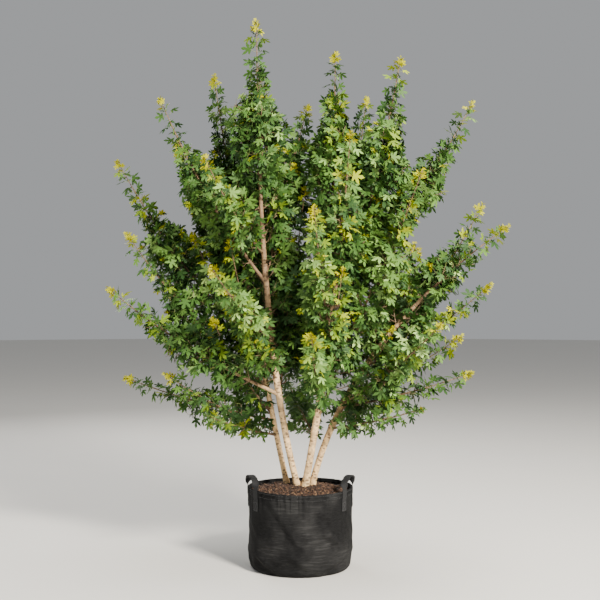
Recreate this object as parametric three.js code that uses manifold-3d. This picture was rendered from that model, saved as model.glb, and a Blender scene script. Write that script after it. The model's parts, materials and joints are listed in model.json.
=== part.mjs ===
// A maple with four stems, standing in a black fabric grow pot with two webbing handles.
// Millimetres, +Z up, -Y to the front. The origin is the centre of the pot's flat underside.
//
// Each stem and each shoot is one curve. Its lower part is a bare limb and its upper part is the
// leader of a mass of foliage. A mass keeps to a string of balls round its leader: a point
// belongs to the ball that it lies deepest in, so that no two masses meet.

import * as THREE from 'three';
import { mergeVertices } from 'three/addons/utils/BufferGeometryUtils.js';
import Module from 'manifold-3d';

const wasm = await Module();
wasm.setup();

// Pot
const RIM_RADIUS = 250;
const WALL_FOOT_RADIUS = 244;
const BASE_RADIUS = 222;
const BASE_ROUNDING = 26;
const POT_HEIGHT = 385;
const CLOTH = 3.5;
const HEM_DEPTH = 32;
const HEM_PROUD = 0.8;
const POT_SEGMENTS = 40;

// Soil
const SOIL_CROWN_Z = 382;
const SOIL_CROWN_RADIUS = 120;
const SOIL_EDGE_Z = 362;

// Handles
const STRAP_WIDTH = 32;
const STRAP_THICKNESS = 2.8;
const STRAP_SPACING = 144;
const STRAP_PATCH = 95;
const STRAP_TOP_Z = 447;
const ARCH_STEPS = 10;
const HEM_STEP = 2;
const HANDLE_BEARINGS = { handle_right: -17, handle_left: 197 };

// Clearances
const SEAT_GAP = 0.3;
const LEAF_CLEARANCE = 3;

// Limbs
const ROOT_FLARE = 4;
const ROOT_FLARE_HEIGHT = 26;
const TAPER_FROM = 0.3;
const TAPER_TO = 1.02;
const STEM_SIDES = 8;
const STEM_STEPS = 12;
const STEM_BELOW = 0.03;
const BOUGH_SIDES = 6;
const BOUGH_STEPS = 6;
const BOUGH_TAPER = 0.8;
const BOUGH_TO_PARENT = 0.8;

// The space round a shoot, from its tip down and from its foot up
const TIP_REACH = 42;
const TIP_FLARE = 0.26;
const FOOT_REACH = 45;
const FOOT_FLARE = 0.7;
const SPACE_MARGIN = 0.03;
const BALLS_PER_SHOOT = 22;
const BALLS_FROM = 0.06;

// Twigs and leaves
const LEADER_SIDES = 3;
const LEADER_STEPS = 6;
const TWIG_SIDES = 3;
const TWIG_ROOT_RADIUS = 3.2;
const TWIG_END_RADIUS = 1.5;
const TWIG_SAG = 0.06;
const TWIG_STEP = 0.84;
const TWIG_ANGLE = 54;
const TWIG_WANDER = 16;
const TWIG_SHORTEST = 35;
const LEAF_ANGLE = 80;
const LEAF_LONGEST = 180;
const LEAF_SHORTEST = 90;
const LEAF_SHARE = 1.02;
const LEAF_TRIES = [1, 1, 0.85, 0.85, 0.7];
const LEAF_THICKNESS = 0.08;
const LEAF_DROOP = 0.15;
const LEAF_TURN = 0.6;
const LEAF_OUTWARD = 0.45;
const LEAF_UPWARD = 0.55;
const LEAF_PAIR_SHARE = 0.5;
const END_LEAF_SHARE = 0.94;
const TIP_OVERLAP = 0.1;
const ROOT_STEP = 0.5;
const SEED_STEP = 7919;

// Stems, by where they leave the soil, the bend and the tip. The limb is bare wood up to the
// share named bare, and girth is its radius above the root flare.
const STEMS = [
  { name: 'back_left', foot: [-64, 65], knee: [-265, 150, 1290], tip: [-440, 300, 2425],
    girth: 13.5, spread: 160, bare: 0.6 },
  { name: 'main', foot: [-12, 5], knee: [-205, -60, 1110], tip: [-207, -50, 2612],
    girth: 15.5, spread: 175, bare: 0.64 },
  { name: 'middle', foot: [24, -12], knee: [175, -90, 1230], tip: [228, -330, 2040],
    girth: 17, spread: 185, bare: 0.58 },
  { name: 'right', foot: [58, 24], knee: [222, 25, 1075], tip: [1003, 0, 1640],
    girth: 15.5, spread: 170, bare: 0.68 },
];

// Shoots, by the limb that they leave, each with the height of its fork and its tip. A shoot with
// no bare share is foliage from its fork on.
const SHOOTS = {
  main: [
    { name: 'upper_left', fork: 1365, tip: [-668, -50, 2244], girth: 9, spread: 175, bare: 0.3 },
    { name: 'front_left_high', fork: 1500, tip: [-430, -350, 1925], girth: 6, spread: 160, bare: 0 },
    { name: 'low_left', fork: 830, tip: [-898, -150, 1338], girth: 10, spread: 175, bare: 0.3 },
    { name: 'front_left', fork: 1100, tip: [-376, -620, 1419], girth: 8, spread: 190, bare: 0.3 },
    { name: 'back_high', fork: 1580, tip: [38, 400, 2288], girth: 7, spread: 160, bare: 0 },
    { name: 'inner_back', fork: 780, tip: [-70, 330, 1640], girth: 6, spread: 200, bare: 0 },
  ],
  back_left: [
    { name: 'far_left_high', fork: 1030, tip: [-914, 200, 1976], girth: 9, spread: 165, bare: 0.3 },
    { name: 'far_left', fork: 860, tip: [-850, 90, 1608], girth: 8, spread: 150, bare: 0.3 },
    { name: 'skirt_left', fork: 690, tip: [-860, 110, 900], girth: 7, spread: 140, bare: 0.27 },
    { name: 'skirt_front_left', fork: 620, tip: [-430, -290, 760], girth: 6, spread: 150, bare: 0 },
    { name: 'back_left_low', fork: 740, tip: [-520, 600, 1010], girth: 7, spread: 180, bare: 0 },
    { name: 'back_left_mid', fork: 1120, tip: [-470, 740, 1640], girth: 8, spread: 190, bare: 0.27 },
    { name: 'back_left_high', fork: 1450, tip: [-640, 420, 2090], girth: 6, spread: 150, bare: 0 },
    { name: 'inner_left', fork: 900, tip: [-330, -130, 1560], girth: 6, spread: 190, bare: 0 },
  ],
  middle: [
    { name: 'right_leader', fork: 1000, tip: [489, 30, 2456], girth: 11, spread: 185, bare: 0.45 },
    { name: 'right_mid', fork: 920, tip: [570, -190, 1890], girth: 10, spread: 175, bare: 0.38 },
    { name: 'back_leader', fork: 1180, tip: [178, 220, 2522], girth: 9, spread: 175, bare: 0.38 },
    { name: 'back_side', fork: 1330, tip: [345, 400, 2330], girth: 6, spread: 130, bare: 0 },
    { name: 'front_low', fork: 800, tip: [47, -700, 1137], girth: 7, spread: 165, bare: 0.27 },
    { name: 'front_mid', fork: 1130, tip: [60, -560, 1680], girth: 7, spread: 175, bare: 0.3 },
    { name: 'back_low', fork: 640, tip: [-60, 640, 830], girth: 6, spread: 180, bare: 0 },
    { name: 'back_mid', fork: 860, tip: [60, 790, 1400], girth: 8, spread: 200, bare: 0.27 },
    { name: 'inner_right', fork: 720, tip: [310, -80, 1430], girth: 6, spread: 180, bare: 0 },
  ],
  right: [
    { name: 'front_right', fork: 790, tip: [604, -550, 1175], girth: 8, spread: 180, bare: 0.27 },
    { name: 'right_side', fork: 1180, tip: [912, 190, 1760], girth: 5, spread: 110, bare: 0 },
    { name: 'far_right', fork: 960, tip: [875, -230, 1352], girth: 6, spread: 150, bare: 0 },
    { name: 'skirt_right', fork: 760, tip: [822, -40, 935], girth: 6, spread: 130, bare: 0 },
    { name: 'skirt_front_right', fork: 660, tip: [560, -300, 790], girth: 6, spread: 150, bare: 0 },
    { name: 'back_right_low', fork: 700, tip: [430, 520, 850], girth: 7, spread: 180, bare: 0 },
    { name: 'back_right_mid', fork: 930, tip: [640, 600, 1560], girth: 8, spread: 190, bare: 0.27 },
  ],
  right_leader: [
    { name: 'far_right_high', fork: 1450, tip: [857, 150, 2262], girth: 7, spread: 160, bare: 0.3 },
    { name: 'back_right_high', fork: 1330, tip: [470, 520, 2010], girth: 6, spread: 160, bare: 0 },
  ],
};

// How a shoot bends: the share of the way out and of the way up at which its bend lies
const BEND_OUT = 0.58;
const BEND_UP = 0.42;

const COLOURS = {
  cloth: new THREE.Color(0.022, 0.023, 0.025),
  soil: new THREE.Color(0.085, 0.042, 0.022),
  bark: new THREE.Color(0.62, 0.47, 0.31),
  leaf: new THREE.Color(0.07, 0.19, 0.035),
};
const MATERIALS = {
  cloth: new THREE.MeshStandardMaterial({ color: COLOURS.cloth, roughness: 0.85, metalness: 0 }),
  soil: new THREE.MeshStandardMaterial({ color: COLOURS.soil, roughness: 1, metalness: 0 }),
  bark: new THREE.MeshStandardMaterial({ color: COLOURS.bark, roughness: 0.8, metalness: 0 }),
  leaf: new THREE.MeshStandardMaterial({ color: COLOURS.leaf, roughness: 0.55, metalness: 0 }),
};

const UP = new THREE.Vector3(0, 0, 1);
const AHEAD = new THREE.Vector3(1, 0, 0);
const NEAR_UPRIGHT = 0.95;
const { clamp, degToRad: degrees, lerp, smoothstep } = THREE.MathUtils;

// A seeded series of numbers from 0 to 1
function series(seed) {
  let state = seed >>> 0;
  return () => {
    state = (Math.imul(state, 1664525) + 1013904223) >>> 0;
    return state / 4294967296;
  };
}

function solidOf(geometry) {
  const bare = new THREE.BufferGeometry().setAttribute('position', geometry.getAttribute('position'));
  bare.setIndex(geometry.getIndex());
  const merged = mergeVertices(bare, 1e-3);
  return new wasm.Manifold(new wasm.Mesh({
    numProp: 3,
    vertProperties: merged.attributes.position.array,
    triVerts: new Uint32Array(merged.index.array),
  }));
}

function geometryOf(solid) {
  const mesh = solid.getMesh();
  const position = new Float32Array(mesh.numVert * 3);
  for (let i = 0; i < mesh.numVert; i++) {
    position.set(mesh.vertProperties.subarray(i * mesh.numProp, i * mesh.numProp + 3), i * 3);
  }
  const geometry = new THREE.BufferGeometry();
  geometry.setAttribute('position', new THREE.BufferAttribute(position, 3));
  geometry.setIndex(new THREE.BufferAttribute(mesh.triVerts, 1));
  return geometry;
}

// The largest body of a solid: fills sealed hollows and drops loose scraps
function largestBody(solid) {
  const bodies = solid.decompose();
  return bodies.reduce((best, body) => (body.volume() > best.volume() ? body : best));
}

const parts = new THREE.Group();

function addMesh(name, geometry, material) {
  const shaded = geometry.index ? geometry.toNonIndexed() : geometry;
  shaded.computeVertexNormals();
  const mesh = new THREE.Mesh(shaded, material);
  mesh.name = name;
  parts.add(mesh);
}

// Pot and soil

function wallRadius(z) {
  if (z >= BASE_ROUNDING) {
    const hem = z > POT_HEIGHT - HEM_DEPTH ? HEM_PROUD : 0;
    const share = (z - BASE_ROUNDING) / (POT_HEIGHT - BASE_ROUNDING);
    return lerp(WALL_FOOT_RADIUS, RIM_RADIUS, share) + hem;
  }
  const rise = 1 - z / BASE_ROUNDING;
  return BASE_RADIUS + (WALL_FOOT_RADIUS - BASE_RADIUS) * Math.sqrt(1 - rise * rise);
}

// Heights of the rounded lower edge, from the floor up
function roundingHeights(steps) {
  const heights = [];
  for (let i = 0; i <= steps; i++) {
    heights.push(BASE_ROUNDING * (1 - Math.cos((Math.PI / 2) * (i / steps))));
  }
  return heights;
}

function potGeometry() {
  const hemFoot = POT_HEIGHT - HEM_DEPTH;
  const outer = [...roundingHeights(4), hemFoot, hemFoot + 1, POT_HEIGHT];
  const inner = [POT_HEIGHT, ...roundingHeights(3).reverse()];
  const profile = [new THREE.Vector2(0, 0)];
  outer.forEach((z) => profile.push(new THREE.Vector2(wallRadius(z), z)));
  inner.forEach((z) => {
    const hem = z === POT_HEIGHT ? HEM_PROUD : 0;
    profile.push(new THREE.Vector2(wallRadius(z) - hem - CLOTH, Math.max(z, CLOTH)));
  });
  profile.push(new THREE.Vector2(0, CLOTH));
  return new THREE.LatheGeometry(profile, POT_SEGMENTS).rotateX(Math.PI / 2);
}

function soilGeometry() {
  const inside = (z) => wallRadius(z) - CLOTH - 2 * SEAT_GAP;
  const lift = CLOTH + SEAT_GAP;
  const profile = [new THREE.Vector2(0, lift)];
  roundingHeights(3).forEach((z) => profile.push(new THREE.Vector2(inside(z), Math.max(z, lift))));
  profile.push(new THREE.Vector2(inside(SOIL_EDGE_Z) - HEM_PROUD, SOIL_EDGE_Z));
  profile.push(new THREE.Vector2(SOIL_CROWN_RADIUS, SOIL_CROWN_Z));
  profile.push(new THREE.Vector2(0, SOIL_CROWN_Z));
  return new THREE.LatheGeometry(profile, POT_SEGMENTS).rotateX(Math.PI / 2);
}

// A strap's centreline as tangential offset, height and turn: it lies flat on the wall, turns a
// quarter above the rim and crosses in an arch
function strapStations() {
  const half = STRAP_SPACING / 2;
  const rise = STRAP_TOP_Z - STRAP_THICKNESS / 2 - POT_HEIGHT;
  const foot = POT_HEIGHT - STRAP_PATCH;
  const leg = [
    { offset: half, z: foot, turn: 0 },
    { offset: half, z: POT_HEIGHT - HEM_DEPTH - HEM_STEP, turn: 0 },
    { offset: half, z: POT_HEIGHT - HEM_DEPTH + HEM_STEP, turn: 0 },
    { offset: half, z: POT_HEIGHT + 1, turn: 0 },
  ];
  const arch = [];
  for (let i = 1; i < ARCH_STEPS; i++) {
    const angle = (Math.PI * i) / ARCH_STEPS;
    const turn = smoothstep(Math.sin(angle), 0.1, 0.62);
    arch.push({ offset: half * Math.cos(angle), z: POT_HEIGHT + rise * Math.sin(angle), turn });
  }
  const other = leg.map((s) => ({ ...s, offset: -s.offset })).reverse();
  return [...leg, ...arch, ...other];
}

// A box geometry bent along the strap's stations
function strapGeometry(bearing) {
  const stations = strapStations();
  const box = new THREE.BoxGeometry(STRAP_WIDTH, STRAP_THICKNESS, 1, 1, 1, stations.length - 1);
  const spin = new THREE.Matrix4().makeRotationZ(degrees(bearing));
  const centres = stations.map(({ offset, z }) => {
    const angle = offset / RIM_RADIUS;
    const radius = wallRadius(Math.min(z, POT_HEIGHT)) + SEAT_GAP + STRAP_THICKNESS / 2;
    return new THREE.Vector3(radius * Math.cos(angle), radius * Math.sin(angle), z);
  });
  const frames = stations.map(({ offset, turn }, i) => {
    const ahead = centres[Math.min(i + 1, centres.length - 1)];
    const behind = centres[Math.max(i - 1, 0)];
    const along = ahead.clone().sub(behind).normalize();
    const angle = offset / RIM_RADIUS;
    const radial = new THREE.Vector3(Math.cos(angle), Math.sin(angle), 0);
    const across = new THREE.Vector3().crossVectors(along, radial).normalize();
    const quarter = (Math.PI / 2) * turn;
    const width = across.multiplyScalar(Math.cos(quarter)).addScaledVector(radial, Math.sin(quarter));
    width.addScaledVector(along, -width.dot(along)).normalize();
    return { width, normal: new THREE.Vector3().crossVectors(along, width) };
  });
  const position = box.getAttribute('position');
  for (let i = 0; i < position.count; i++) {
    const station = Math.round((position.getZ(i) + 0.5) * (stations.length - 1));
    const { width, normal } = frames[station];
    const point = centres[station].clone()
      .addScaledVector(width, position.getX(i))
      .addScaledVector(normal, position.getY(i));
    position.setXYZ(i, point.x, point.y, point.z);
  }
  return box.applyMatrix4(spin);
}

// Limbs

// A cylinder bent along a curve between two of its shares, with a radius for each share
function limbGeometry(curve, from, to, radiusAt, sides, steps) {
  const cylinder = new THREE.CylinderGeometry(1, 1, 1, sides, steps, false, Math.PI / 2);
  const out = new THREE.Vector3().subVectors(curve.v1, curve.v0);
  const plane = new THREE.Vector3().subVectors(curve.v2, curve.v1).cross(out);
  if (plane.length() < 1) plane.copy(out).cross(UP);
  plane.normalize();
  const position = cylinder.getAttribute('position');
  for (let i = 0; i < position.count; i++) {
    const share = lerp(from, to, position.getY(i) + 0.5);
    const along = curve.getTangentAt(clamp(share, 0, 1));
    const across = new THREE.Vector3().crossVectors(plane, along).normalize();
    const radius = radiusAt(share);
    const point = pointAt(curve, share)
      .addScaledVector(across, position.getX(i) * radius)
      .addScaledVector(plane, -position.getZ(i) * radius);
    position.setXYZ(i, point.x, point.y, point.z);
  }
  return cylinder;
}

// A point of the curve, which runs on straight past its ends
function pointAt(curve, share) {
  const inside = clamp(share, 0, 1);
  const point = curve.getPointAt(inside);
  return point.addScaledVector(curve.getTangentAt(inside), (share - inside) * curve.getLength());
}

function shareAtHeight(curve, z) {
  let low = 0;
  let high = 1;
  while (high - low > 1e-4) {
    const middle = (low + high) / 2;
    if (curve.getPointAt(middle).z < z) low = middle;
    else high = middle;
  }
  return low;
}

const limbs = new Map();

function growStem({ name, foot, knee, tip, girth, spread, bare }) {
  const curve = new THREE.QuadraticBezierCurve3(
    new THREE.Vector3(...foot, SOIL_CROWN_Z), new THREE.Vector3(...knee), new THREE.Vector3(...tip));
  const length = curve.getLength();
  const radiusAt = (share) => {
    const flare = ROOT_FLARE * Math.exp(-Math.max(share, 0) * length / ROOT_FLARE_HEIGHT);
    return lerp(girth, TWIG_END_RADIUS, smoothstep(share, TAPER_FROM, TAPER_TO)) + flare;
  };
  const form = { sides: STEM_SIDES, steps: STEM_STEPS, from: -STEM_BELOW };
  limbs.set(name, { name, curve, length, radiusAt, spread, bare, ...form });
}

function growShoot(parent, { name, fork, tip, girth, spread, bare }) {
  const share = shareAtHeight(parent.curve, fork);
  const foot = parent.curve.getPointAt(share);
  const end = new THREE.Vector3(...tip);
  const knee = new THREE.Vector3(
    lerp(foot.x, end.x, BEND_OUT), lerp(foot.y, end.y, BEND_OUT), lerp(foot.z, end.z, BEND_UP));
  const curve = new THREE.QuadraticBezierCurve3(foot, knee, end);
  const thick = Math.min(girth, BOUGH_TO_PARENT * parent.radiusAt(share));
  const radiusAt = (s) => lerp(thick, TWIG_END_RADIUS, Math.pow(clamp(s, 0, 1), BOUGH_TAPER));
  const length = curve.getLength();
  const form = { sides: BOUGH_SIDES, steps: BOUGH_STEPS, from: 0 };
  limbs.set(name, { name, curve, length, radiusAt, spread, bare, parent, ...form });
}

STEMS.forEach(growStem);
for (const [parent, shoots] of Object.entries(SHOOTS)) {
  shoots.forEach((shoot) => growShoot(limbs.get(parent), shoot));
}

// The bare part of a limb from its parent's axis on, grown fatter all round by a clearance
function limbSolid({ curve, length, radiusAt, bare, sides, steps, from }, clearance) {
  const end = bare + clearance / length;
  return solidOf(limbGeometry(curve, from, end, (share) => radiusAt(share) + clearance, sides, steps));
}

// Cuts a limb's foot to sit on its parent, or on the soil
function seat({ parent }, solid) {
  if (!parent) return solid.trimByPlane([0, 0, 1], SOIL_CROWN_Z + SEAT_GAP);
  return largestBody(solid.subtract(limbSolid(parent, SEAT_GAP)));
}

const limbSolids = new Map();
for (const limb of limbs.values()) {
  if (limb.bare > 0) limbSolids.set(limb.name, seat(limb, limbSolid(limb, 0)));
}

// Foliage

// The string of balls that is a shoot's space
function spaceOf(limb) {
  const balls = [];
  for (let i = 0; i <= BALLS_PER_SHOOT; i++) {
    const start = Math.max(limb.bare, BALLS_FROM);
    const share = lerp(start, 1, i / BALLS_PER_SHOOT);
    const toTip = (1 - share) * limb.length;
    const toFoot = (share - start) * limb.length;
    const radius = Math.min(limb.spread, TIP_REACH + TIP_FLARE * toTip, FOOT_REACH + FOOT_FLARE * toFoot);
    balls.push({ centre: limb.curve.getPointAt(share), radius, limb });
  }
  return balls;
}

const balls = [...limbs.values()].flatMap(spaceOf);

// How deep a point is in the limb's own space and in the nearest other: 0 at a centre, 1 outside
function depths(point, limb) {
  let own = Infinity;
  let other = Infinity;
  for (const ball of balls) {
    const depth = ball.centre.distanceTo(point) / ball.radius;
    if (ball.limb === limb) own = Math.min(own, depth);
    else other = Math.min(other, depth);
  }
  return { own, other };
}

function keepsToSpace(points, limb) {
  return points.every((point) => {
    const { own, other } = depths(point, limb);
    return own < 1 && own < other - SPACE_MARGIN;
  });
}

function reachAt(limb, share) {
  const centre = limb.curve.getPointAt(share);
  let best = balls[0];
  for (const ball of balls) {
    if (ball.limb === limb && ball.centre.distanceTo(centre) < best.centre.distanceTo(centre)) best = ball;
  }
  return best.radius;
}

// A leaf with three lobes: a flat underside and six faces up to a ridge. Its points are the root,
// three lobes with two notches between them, and the top of the ridge, in shares of its length.
const LEAF_POINTS = [
  [0, 0, 0], [0.6, 0.55, 0], [0.25, 0.6, 0], [0, 1, 0], [-0.25, 0.6, 0], [-0.6, 0.55, 0],
  [0, 0.4, LEAF_THICKNESS],
];
const LEAF_FACES = [
  [6, 0, 1], [6, 1, 2], [6, 2, 3], [6, 3, 4], [6, 4, 5], [6, 5, 0],
  [0, 5, 1], [1, 5, 2], [2, 5, 4], [2, 4, 3],
];

function leafGeometry(root, along, normal, length) {
  const across = new THREE.Vector3().crossVectors(along, normal).normalize();
  const face = new THREE.Vector3().crossVectors(across, along).normalize();
  const points = LEAF_POINTS.map(([x, y, z]) => root.clone()
    .addScaledVector(across, x * length)
    .addScaledVector(along, y * length)
    .addScaledVector(face, z * length));
  const geometry = new THREE.BufferGeometry().setFromPoints(points);
  geometry.setIndex(LEAF_FACES.flat());
  return { geometry, outline: points.slice(1) };
}

// The points by which a leaf is tested against its space
function testPoints(root, outline) {
  return outline.flatMap((point) => [point, root.clone().lerp(point, 0.5)]);
}

const keepOut = wasm.Manifold.union([...limbs.values()]
  .filter((limb) => limb.bare > 0)
  .map((limb) => limbSolid(limb, LEAF_CLEARANCE)));
const masses = new Map();

function meets(solid, others) {
  return others.some((other) => solid.intersect(other).volume() > 0);
}

// A sideways direction, turned round the shoot by a roll
function sideways(along, roll) {
  const start = new THREE.Vector3().crossVectors(along, Math.abs(along.z) > NEAR_UPRIGHT ? AHEAD : UP);
  return start.normalize().applyAxisAngle(along, roll);
}

// Which way a leaf faces: up and out, and a little any way
function leafNormal(root, next) {
  const outward = new THREE.Vector3(root.x, root.y, 0).normalize();
  const any = new THREE.Vector3(next() - 0.5, next() - 0.5, next() - 0.5).normalize();
  any.multiplyScalar(LEAF_TURN).addScaledVector(outward, LEAF_OUTWARD);
  return any.addScaledVector(UP, LEAF_UPWARD).normalize();
}

function tilt(along, out, angle) {
  return along.clone().multiplyScalar(Math.cos(angle)).addScaledVector(out, Math.sin(angle));
}

function leafLengthAt(reach) {
  return clamp(LEAF_SHARE * reach, LEAF_SHORTEST, LEAF_LONGEST);
}

// One mass: a leader, pairs of side twigs that turn a quarter each time, and leaves on both
class Foliage {
  constructor(limb, seed) {
    this.limb = limb;
    this.next = series(seed);
    this.leaves = [];
    const { curve, length, radiusAt, bare } = limb;
    const foot = bare > 0 ? bare + SEAT_GAP / length : 0;
    this.end = 1 - (1 - TIP_OVERLAP) * LEAF_SHORTEST / length;
    const leader = solidOf(limbGeometry(curve, foot, this.end, radiusAt, LEADER_SIDES, LEADER_STEPS));
    this.wood = [bare > 0 ? leader : seat(limb, leader)];
  }

  isFree(solid, holder) {
    const wood = this.wood.filter((piece) => piece !== holder);
    return !meets(solid, [keepOut, ...wood, ...this.leaves, ...masses.values()]);
  }

  // A leaf that doesn't fit is tried again, turned another way and smaller
  addLeaf(holder, root, direction, size) {
    const along = direction.clone().addScaledVector(UP, -LEAF_DROOP).normalize();
    const foot = root.clone().addScaledVector(along, ROOT_STEP);
    for (const share of LEAF_TRIES) {
      const { geometry, outline } = leafGeometry(foot, along, leafNormal(root, this.next), size * share);
      if (!keepsToSpace(testPoints(root, outline), this.limb)) continue;
      const leaf = solidOf(geometry);
      if (!this.isFree(leaf, holder)) continue;
      this.leaves.push(leaf);
      return;
    }
  }

  addTwig(root, direction, twigLength) {
    const end = root.clone().addScaledVector(direction, twigLength);
    const bend = root.clone().lerp(end, 0.5).addScaledVector(UP, -TWIG_SAG * twigLength);
    const curve = new THREE.QuadraticBezierCurve3(root, bend, end);
    if (!keepsToSpace([0.5, 1].map((share) => curve.getPointAt(share)), this.limb)) return null;
    const radius = (share) => lerp(TWIG_ROOT_RADIUS, TWIG_END_RADIUS, share);
    const twig = solidOf(limbGeometry(curve, 0, 1, radius, TWIG_SIDES, 1));
    const [leader] = this.wood;
    if (!this.isFree(twig, leader)) return null;
    this.wood.push(twig);
    return { twig, curve };
  }

  // A side twig with a leaf at its end and one on each side, or only a leaf where there is no room
  addSide(root, direction, reach) {
    const size = leafLengthAt(reach);
    const room = reach / Math.sin(degrees(TWIG_ANGLE)) - size;
    const grown = room > TWIG_SHORTEST ? this.addTwig(root, direction, room) : null;
    if (!grown) {
      this.addLeaf(this.wood[0], root, direction, size);
      return;
    }
    this.addLeaf(grown.twig, grown.curve.getPointAt(END_LEAF_SHARE), direction, size);
    const across = sideways(direction, this.next() * Math.PI);
    for (const hand of [1, -1]) {
      const turned = tilt(direction, across.clone().multiplyScalar(hand), degrees(LEAF_ANGLE));
      this.addLeaf(grown.twig, grown.curve.getPointAt(LEAF_PAIR_SHARE), turned, size);
    }
  }

  grow() {
    const { curve, length, bare } = this.limb;
    let roll = this.next() * Math.PI;
    let share = bare + 0.5 * TWIG_STEP * LEAF_LONGEST / length;
    while (share < this.end) {
      const reach = reachAt(this.limb, share);
      const along = curve.getTangentAt(share);
      for (const side of [0, Math.PI]) {
        const angle = degrees(TWIG_ANGLE + (this.next() - 0.5) * TWIG_WANDER);
        this.addSide(curve.getPointAt(share), tilt(along, sideways(along, roll + side), angle), reach);
      }
      roll += Math.PI / 2 + (this.next() - 0.5) * 0.5;
      share += TWIG_STEP * leafLengthAt(reach) / length;
    }
    const top = curve.getPointAt(this.end - TIP_OVERLAP * LEAF_SHORTEST / length);
    const tipLeaf = leafGeometry(top, curve.getTangentAt(1), leafNormal(top, this.next), LEAF_SHORTEST);
    this.leaves.push(solidOf(tipLeaf.geometry));
    return largestBody(wasm.Manifold.union([...this.wood, ...this.leaves]));
  }
}

addMesh('fabric_pot', potGeometry(), MATERIALS.cloth);
addMesh('soil', soilGeometry(), MATERIALS.soil);
for (const [name, bearing] of Object.entries(HANDLE_BEARINGS)) {
  addMesh(name, strapGeometry(bearing), MATERIALS.cloth);
}
for (const [name, solid] of limbSolids) {
  addMesh((limbs.get(name).parent ? 'bough_' : 'stem_') + name, geometryOf(solid), MATERIALS.bark);
}
[...limbs.values()].forEach((limb, i) => {
  masses.set(limb.name, new Foliage(limb, (i + 1) * SEED_STEP).grow());
  addMesh('foliage_' + limb.name, geometryOf(masses.get(limb.name)), MATERIALS.leaf);
});

export default parts;
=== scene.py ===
"""A maple with four stems in a black fabric grow bag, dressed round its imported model.

Metres, +Z up, -Y to the front, with the origin at the centre of the bag's underside. Limb sizes are
written in millimetres, as in the part's source, and MM turns them into metres.
"""

import json
import logging
import math
from dataclasses import dataclass, field
from enum import Enum
from random import Random
from typing import Callable, Iterable, Optional, Sequence

import bpy
import numpy as np
from mathutils import Matrix, Vector, noise

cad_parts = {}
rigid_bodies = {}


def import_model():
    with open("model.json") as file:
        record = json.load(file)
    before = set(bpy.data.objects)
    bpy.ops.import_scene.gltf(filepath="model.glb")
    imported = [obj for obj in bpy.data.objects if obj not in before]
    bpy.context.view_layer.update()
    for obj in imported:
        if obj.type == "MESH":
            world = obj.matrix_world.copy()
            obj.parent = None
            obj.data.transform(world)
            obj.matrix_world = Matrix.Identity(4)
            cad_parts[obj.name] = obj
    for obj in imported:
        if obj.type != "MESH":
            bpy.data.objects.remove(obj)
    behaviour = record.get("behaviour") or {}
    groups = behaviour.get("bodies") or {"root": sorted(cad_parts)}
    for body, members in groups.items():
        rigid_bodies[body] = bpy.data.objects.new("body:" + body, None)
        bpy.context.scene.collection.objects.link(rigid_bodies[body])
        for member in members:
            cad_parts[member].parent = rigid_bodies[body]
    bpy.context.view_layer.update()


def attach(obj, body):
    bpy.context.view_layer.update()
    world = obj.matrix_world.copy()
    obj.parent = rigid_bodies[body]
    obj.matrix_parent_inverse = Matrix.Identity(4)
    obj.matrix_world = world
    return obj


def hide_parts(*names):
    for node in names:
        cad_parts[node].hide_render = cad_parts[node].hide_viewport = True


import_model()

Array = np.ndarray
Numbers = float | Array
Material = bpy.types.Material
Object = bpy.types.Object

LOG = logging.getLogger("maple")
MM = 0.001
TURN = 2 * math.pi
QUARTER = math.pi / 2
TINY = 1e-12
UP = Vector((0, 0, 1))
AHEAD = Vector((1, 0, 0))
BODY = "root"


class Slot(Enum):
    """The record's material slots."""

    CLOTH = "pot_fabric"
    WEBBING = "webbing"
    COMPOST = "compost"
    BARK = "bark"
    FOLIAGE = "foliage"


def lerp(start: Numbers, end: Numbers, share: Numbers) -> Numbers:
    """Goes from start to end by a share."""
    return start + (end - start) * share


def below(value: float, level: float, fade: float) -> float:
    """0 where a value is over a level and 1 where it is under it by the fade or more."""
    return max(0.0, min(1.0, (level - value) / fade))


def part_of(value: Numbers, low: float, length: float) -> Numbers:
    """How far values are along a part that starts at low, from 0 to 1."""
    return np.clip((value - low) / length, 0, 1)


def smooth(value: Numbers, low: float, high: float) -> Numbers:
    """A smooth step from 0 at low to 1 at high, for numbers and arrays alike."""
    share = part_of(value, low, high - low)
    return share * share * (3 - 2 * share)


def squared(wave: Numbers, power: float) -> Numbers:
    """A sine or cosine pushed towards a square wave, the more so the smaller the power."""
    return np.sign(wave) * np.abs(wave) ** power


def wrapped(angle: Array) -> Array:
    """Angles brought into half a turn either way."""
    return np.angle(np.exp(1j * angle))


def bell(value: Array, middle: float, width: float) -> Array:
    """A bell curve of height 1."""
    return np.exp(-((value - middle) / width) ** 2)


def round_axis(radius: Array, bearing: Array, z: Array) -> Array:
    """Points by their distance from the upright axis, their bearing and their height, one a row."""
    return np.stack([radius * np.cos(bearing), radius * np.sin(bearing), z], 1)


# Shader writing


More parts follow.
